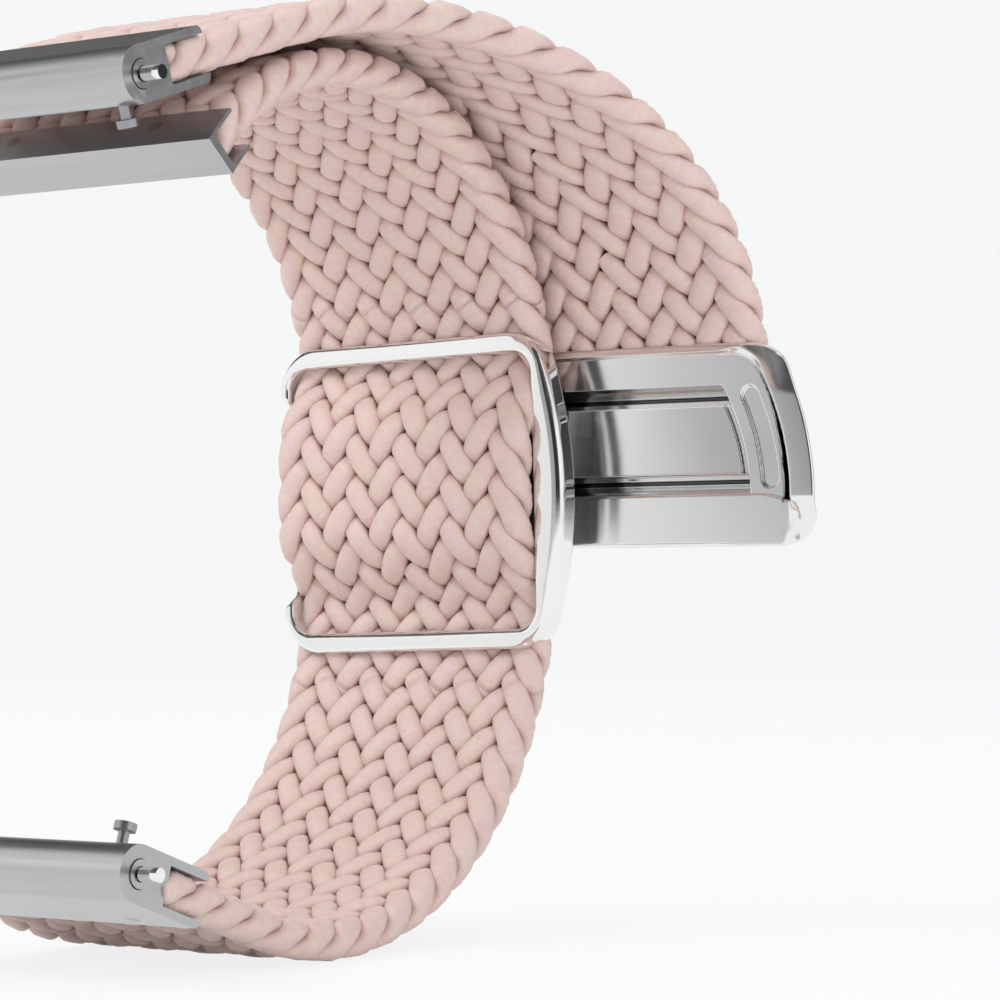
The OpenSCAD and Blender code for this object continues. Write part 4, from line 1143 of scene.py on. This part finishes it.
def light_tent():
    """A light tent that only reflections see: white walls, with dark flags beside the camera and
    behind the object."""
    mat, tree, shader = material("light_tent")
    glow = add(tree, "ShaderNodeEmission", Color=attribute(tree, "level").outputs["Color"],
               Strength=1.0)
    wire(tree, tree.nodes["Material Output"], Surface=glow.outputs[0])
    heights = np.concatenate([[-89.0], np.arange(-87, 88, 3.0), [89.0]])
    a, e = np.meshgrid(np.arange(0, 360, 2.0), heights)
    level = tent_level(a, e)
    ar, er = np.radians(a), np.radians(e)
    r, middle_y, middle_z = 420.0, 30, 20
    verts = np.stack([r * np.cos(er) * np.cos(ar), middle_y + r * np.cos(er) * np.sin(ar),
                      middle_z + r * np.sin(er)], -1)
    tent = make("light_tent", verts.reshape(-1, 3), tube_faces(*a.shape), mat)
    grey = np.ones((a.size, 4), np.float32)
    grey[:, :3] = level.reshape(-1, 1)
    tent.data.color_attributes.new("level", "FLOAT_COLOR", "POINT").data.foreach_set(
        "color", grey.ravel())
    for kind in ("camera", "diffuse", "transmission", "volume_scatter", "shadow"):
        setattr(tent, "visible_" + kind, False)
    tent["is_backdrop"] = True


def seen_directly(tree):
    """1 for what the camera or the metal sees, and 0 for what only lights something."""
    path = add(tree, "ShaderNodeLightPath")
    return add(tree, "ShaderNodeMath", {"operation": "MAXIMUM"},
               n0=path.outputs["Is Camera Ray"], n1=path.outputs["Is Glossy Ray"]).outputs[0]


def studio_paper(look):
    """Matt photographic paper: even, with a faint fibre mottling. The camera and the metal see it
    nearly white, and it keeps the object's shadow."""
    mat, tree, shader = material("pale_studio_paper")
    where = add(tree, "ShaderNodeTexCoord").outputs["Object"]
    fibre = add(tree, "ShaderNodeTexNoise", Vector=where, Scale=40.0, Detail=3.0)
    shade = add(tree, "ShaderNodeMapRange", Value=fibre.outputs[0], To_Min=0.99, To_Max=1.0)
    white = colour(look.floor)
    wire(tree, shader, Base_Color=mixed(tree, 1.0, white, shade.outputs[0], "MULTIPLY"),
         Roughness=0.9)
    glow = add(tree, "ShaderNodeEmission", Color=white, Strength=1.0)
    part = add(tree, "ShaderNodeMath", {"operation": "MULTIPLY"}, n0=seen_directly(tree),
               n1=look.glow)
    both = add(tree, "ShaderNodeMixShader", n0=part.outputs[0], n1=shader.outputs[0],
               n2=glow.outputs[0])
    wire(tree, tree.nodes["Material Output"], Surface=both.outputs[0])
    return mat


def paper_floor(look):
    """A round sheet under the object that curves up into a wall all round."""
    below, middle_y, count = 0.02, 35, 96
    floor_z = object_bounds()[0][2] / MM - below
    flat, bend_from, bend, wall_top = 400.0, 1200, 500, 1600.0
    curve = [math.radians(a) for a in range(0, 91, 10)]
    radii = [flat] + [bend_from + bend * math.sin(a) for a in curve] + [bend_from + bend]
    heights = [0.0] + [bend - bend * math.cos(a) for a in curve] + [wall_top]
    verts = [(0.0, middle_y, floor_z)]
    for r, h in zip(radii, heights):
        verts += [(r * math.cos(2 * math.pi * i / count),
                   middle_y + r * math.sin(2 * math.pi * i / count), floor_z + h)
                  for i in range(count)]
    faces = [(0, 1 + i, 1 + (i + 1) % count) for i in range(count)]
    for k in range(len(radii) - 1):
        b = 1 + k * count
        faces += [(b + i, b + count + i, b + count + (i + 1) % count, b + (i + 1) % count)
                  for i in range(count)]
    make("floor", verts, faces, studio_paper(look))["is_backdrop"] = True


def room_light(scene, strength):
    """Even light all round, which the camera and the metal see as a plain pale backdrop."""
    scene.world = scene.world or bpy.data.worlds.new("world")
    scene.world.use_nodes = True
    tree = scene.world.node_tree
    tree.nodes.clear()
    out = tree.nodes.new("ShaderNodeOutputWorld")
    level = add(tree, "ShaderNodeMapRange", Value=seen_directly(tree), To_Min=strength, To_Max=1.0)
    back = add(tree, "ShaderNodeBackground", Color=colour("F8FAFC"), Strength=level.outputs[0])
    wire(tree, out, Surface=back.outputs[0])


def lamp(scene, name, at, size, power):
    """An area light that faces the object's middle."""
    old = bpy.data.objects.get(name)
    if old:
        bpy.data.objects.remove(old)
    data = bpy.data.lights.new(name, "AREA")
    data.shape = "RECTANGLE"
    data.size, data.size_y = size
    data.energy = power
    obj = bpy.data.objects.new(name, data)
    obj.location = at
    aim = Vector((0.0, 0.03, 0.02)) - Vector(at)
    obj.rotation_euler = aim.to_track_quat("-Z", "Y").to_euler()
    scene.collection.objects.link(obj)


def photo_camera(scene):
    """The camera that was fitted to the photo: its place, the way it looks and its lens."""
    cam = bpy.data.cameras.new("camera")
    cam.lens, cam.sensor_width, cam.clip_start = 115.2, 36.0, 0.01
    obj = bpy.data.objects.new("camera", cam)
    scene.collection.objects.link(obj)
    ahead = Vector((-0.5563, 0.8303, 0.0336)).normalized()
    right = ahead.cross(Vector((0.0194, -0.0274, 0.9994))).normalized()
    turn = Matrix((right, right.cross(ahead), -ahead)).transposed()
    obj.matrix_world = Matrix.Translation((0.13528, -0.14718, 0.01588)) @ turn.to_4x4()
    scene.camera = obj


class STRAP_OT_stage(bpy.types.Operator):
    """Sets the floor, the backdrop, the lights and the camera"""
    bl_idname = "watchstrap.stage"
    bl_label = "Stage"

    def execute(self, context):
        scene = context.scene
        look = scene.stage_look
        light_tent()
        paper_floor(look)
        room_light(scene, look.room)
        lamp(scene, "key_light", (-0.5, -0.6, 0.75), (0.6, 0.6), look.key)
        lamp(scene, "fill_light", (0.8, -0.35, 0.35), (0.5, 0.7), look.fill)
        lamp(scene, "top_light", (0.1, 0.2, 0.9), (0.8, 0.8), look.top)
        photo_camera(scene)
        scene.view_settings.view_transform = "Standard"
        return {"FINISHED"}


class STRAP_PT_panel(bpy.types.Panel):
    """Lists the strap's pieces and their sizes"""
    bl_idname = "STRAP_PT_panel"
    bl_label = "Watch Strap"
    bl_space_type = "VIEW_3D"
    bl_region_type = "UI"
    bl_category = "Watch Strap"

    def draw(self, context):
        layout = self.layout
        for group in GROUPS:
            box = layout.box()
            data = getattr(context.scene, group)
            for key in data.__annotations__:
                box.prop(data, key)
        for op in OPERATORS:
            layout.operator(op.bl_idname)


GROUPS = {"strap_sizes": StrapSizes, "loop_sizes": LoopSizes, "frame_sizes": FrameSizes,
          "clasp_sizes": ClaspSizes, "bar_sizes": BarSizes, "steel_look": SteelLook,
          "stage_look": StageLook}
OPERATORS = [STRAP_OT_fittings, STRAP_OT_springs, STRAP_OT_housings, STRAP_OT_sliding_frame,
             STRAP_OT_clasp, STRAP_OT_braid_first, STRAP_OT_braid_second, STRAP_OT_stage]


def register():
    for cls in list(GROUPS.values()) + OPERATORS + [STRAP_PT_panel]:
        bpy.utils.register_class(cls)
    for name, cls in GROUPS.items():
        setattr(bpy.types.Scene, name, PointerProperty(type=cls))


def unregister():
    for name in GROUPS:
        delattr(bpy.types.Scene, name)
    for cls in reversed(list(GROUPS.values()) + OPERATORS + [STRAP_PT_panel]):
        bpy.utils.unregister_class(cls)


def main():
    register()
    for op in OPERATORS:
        area, name = op.bl_idname.split(".")
        getattr(getattr(bpy.ops, area), name)()


if __name__ == "__main__":
    main()
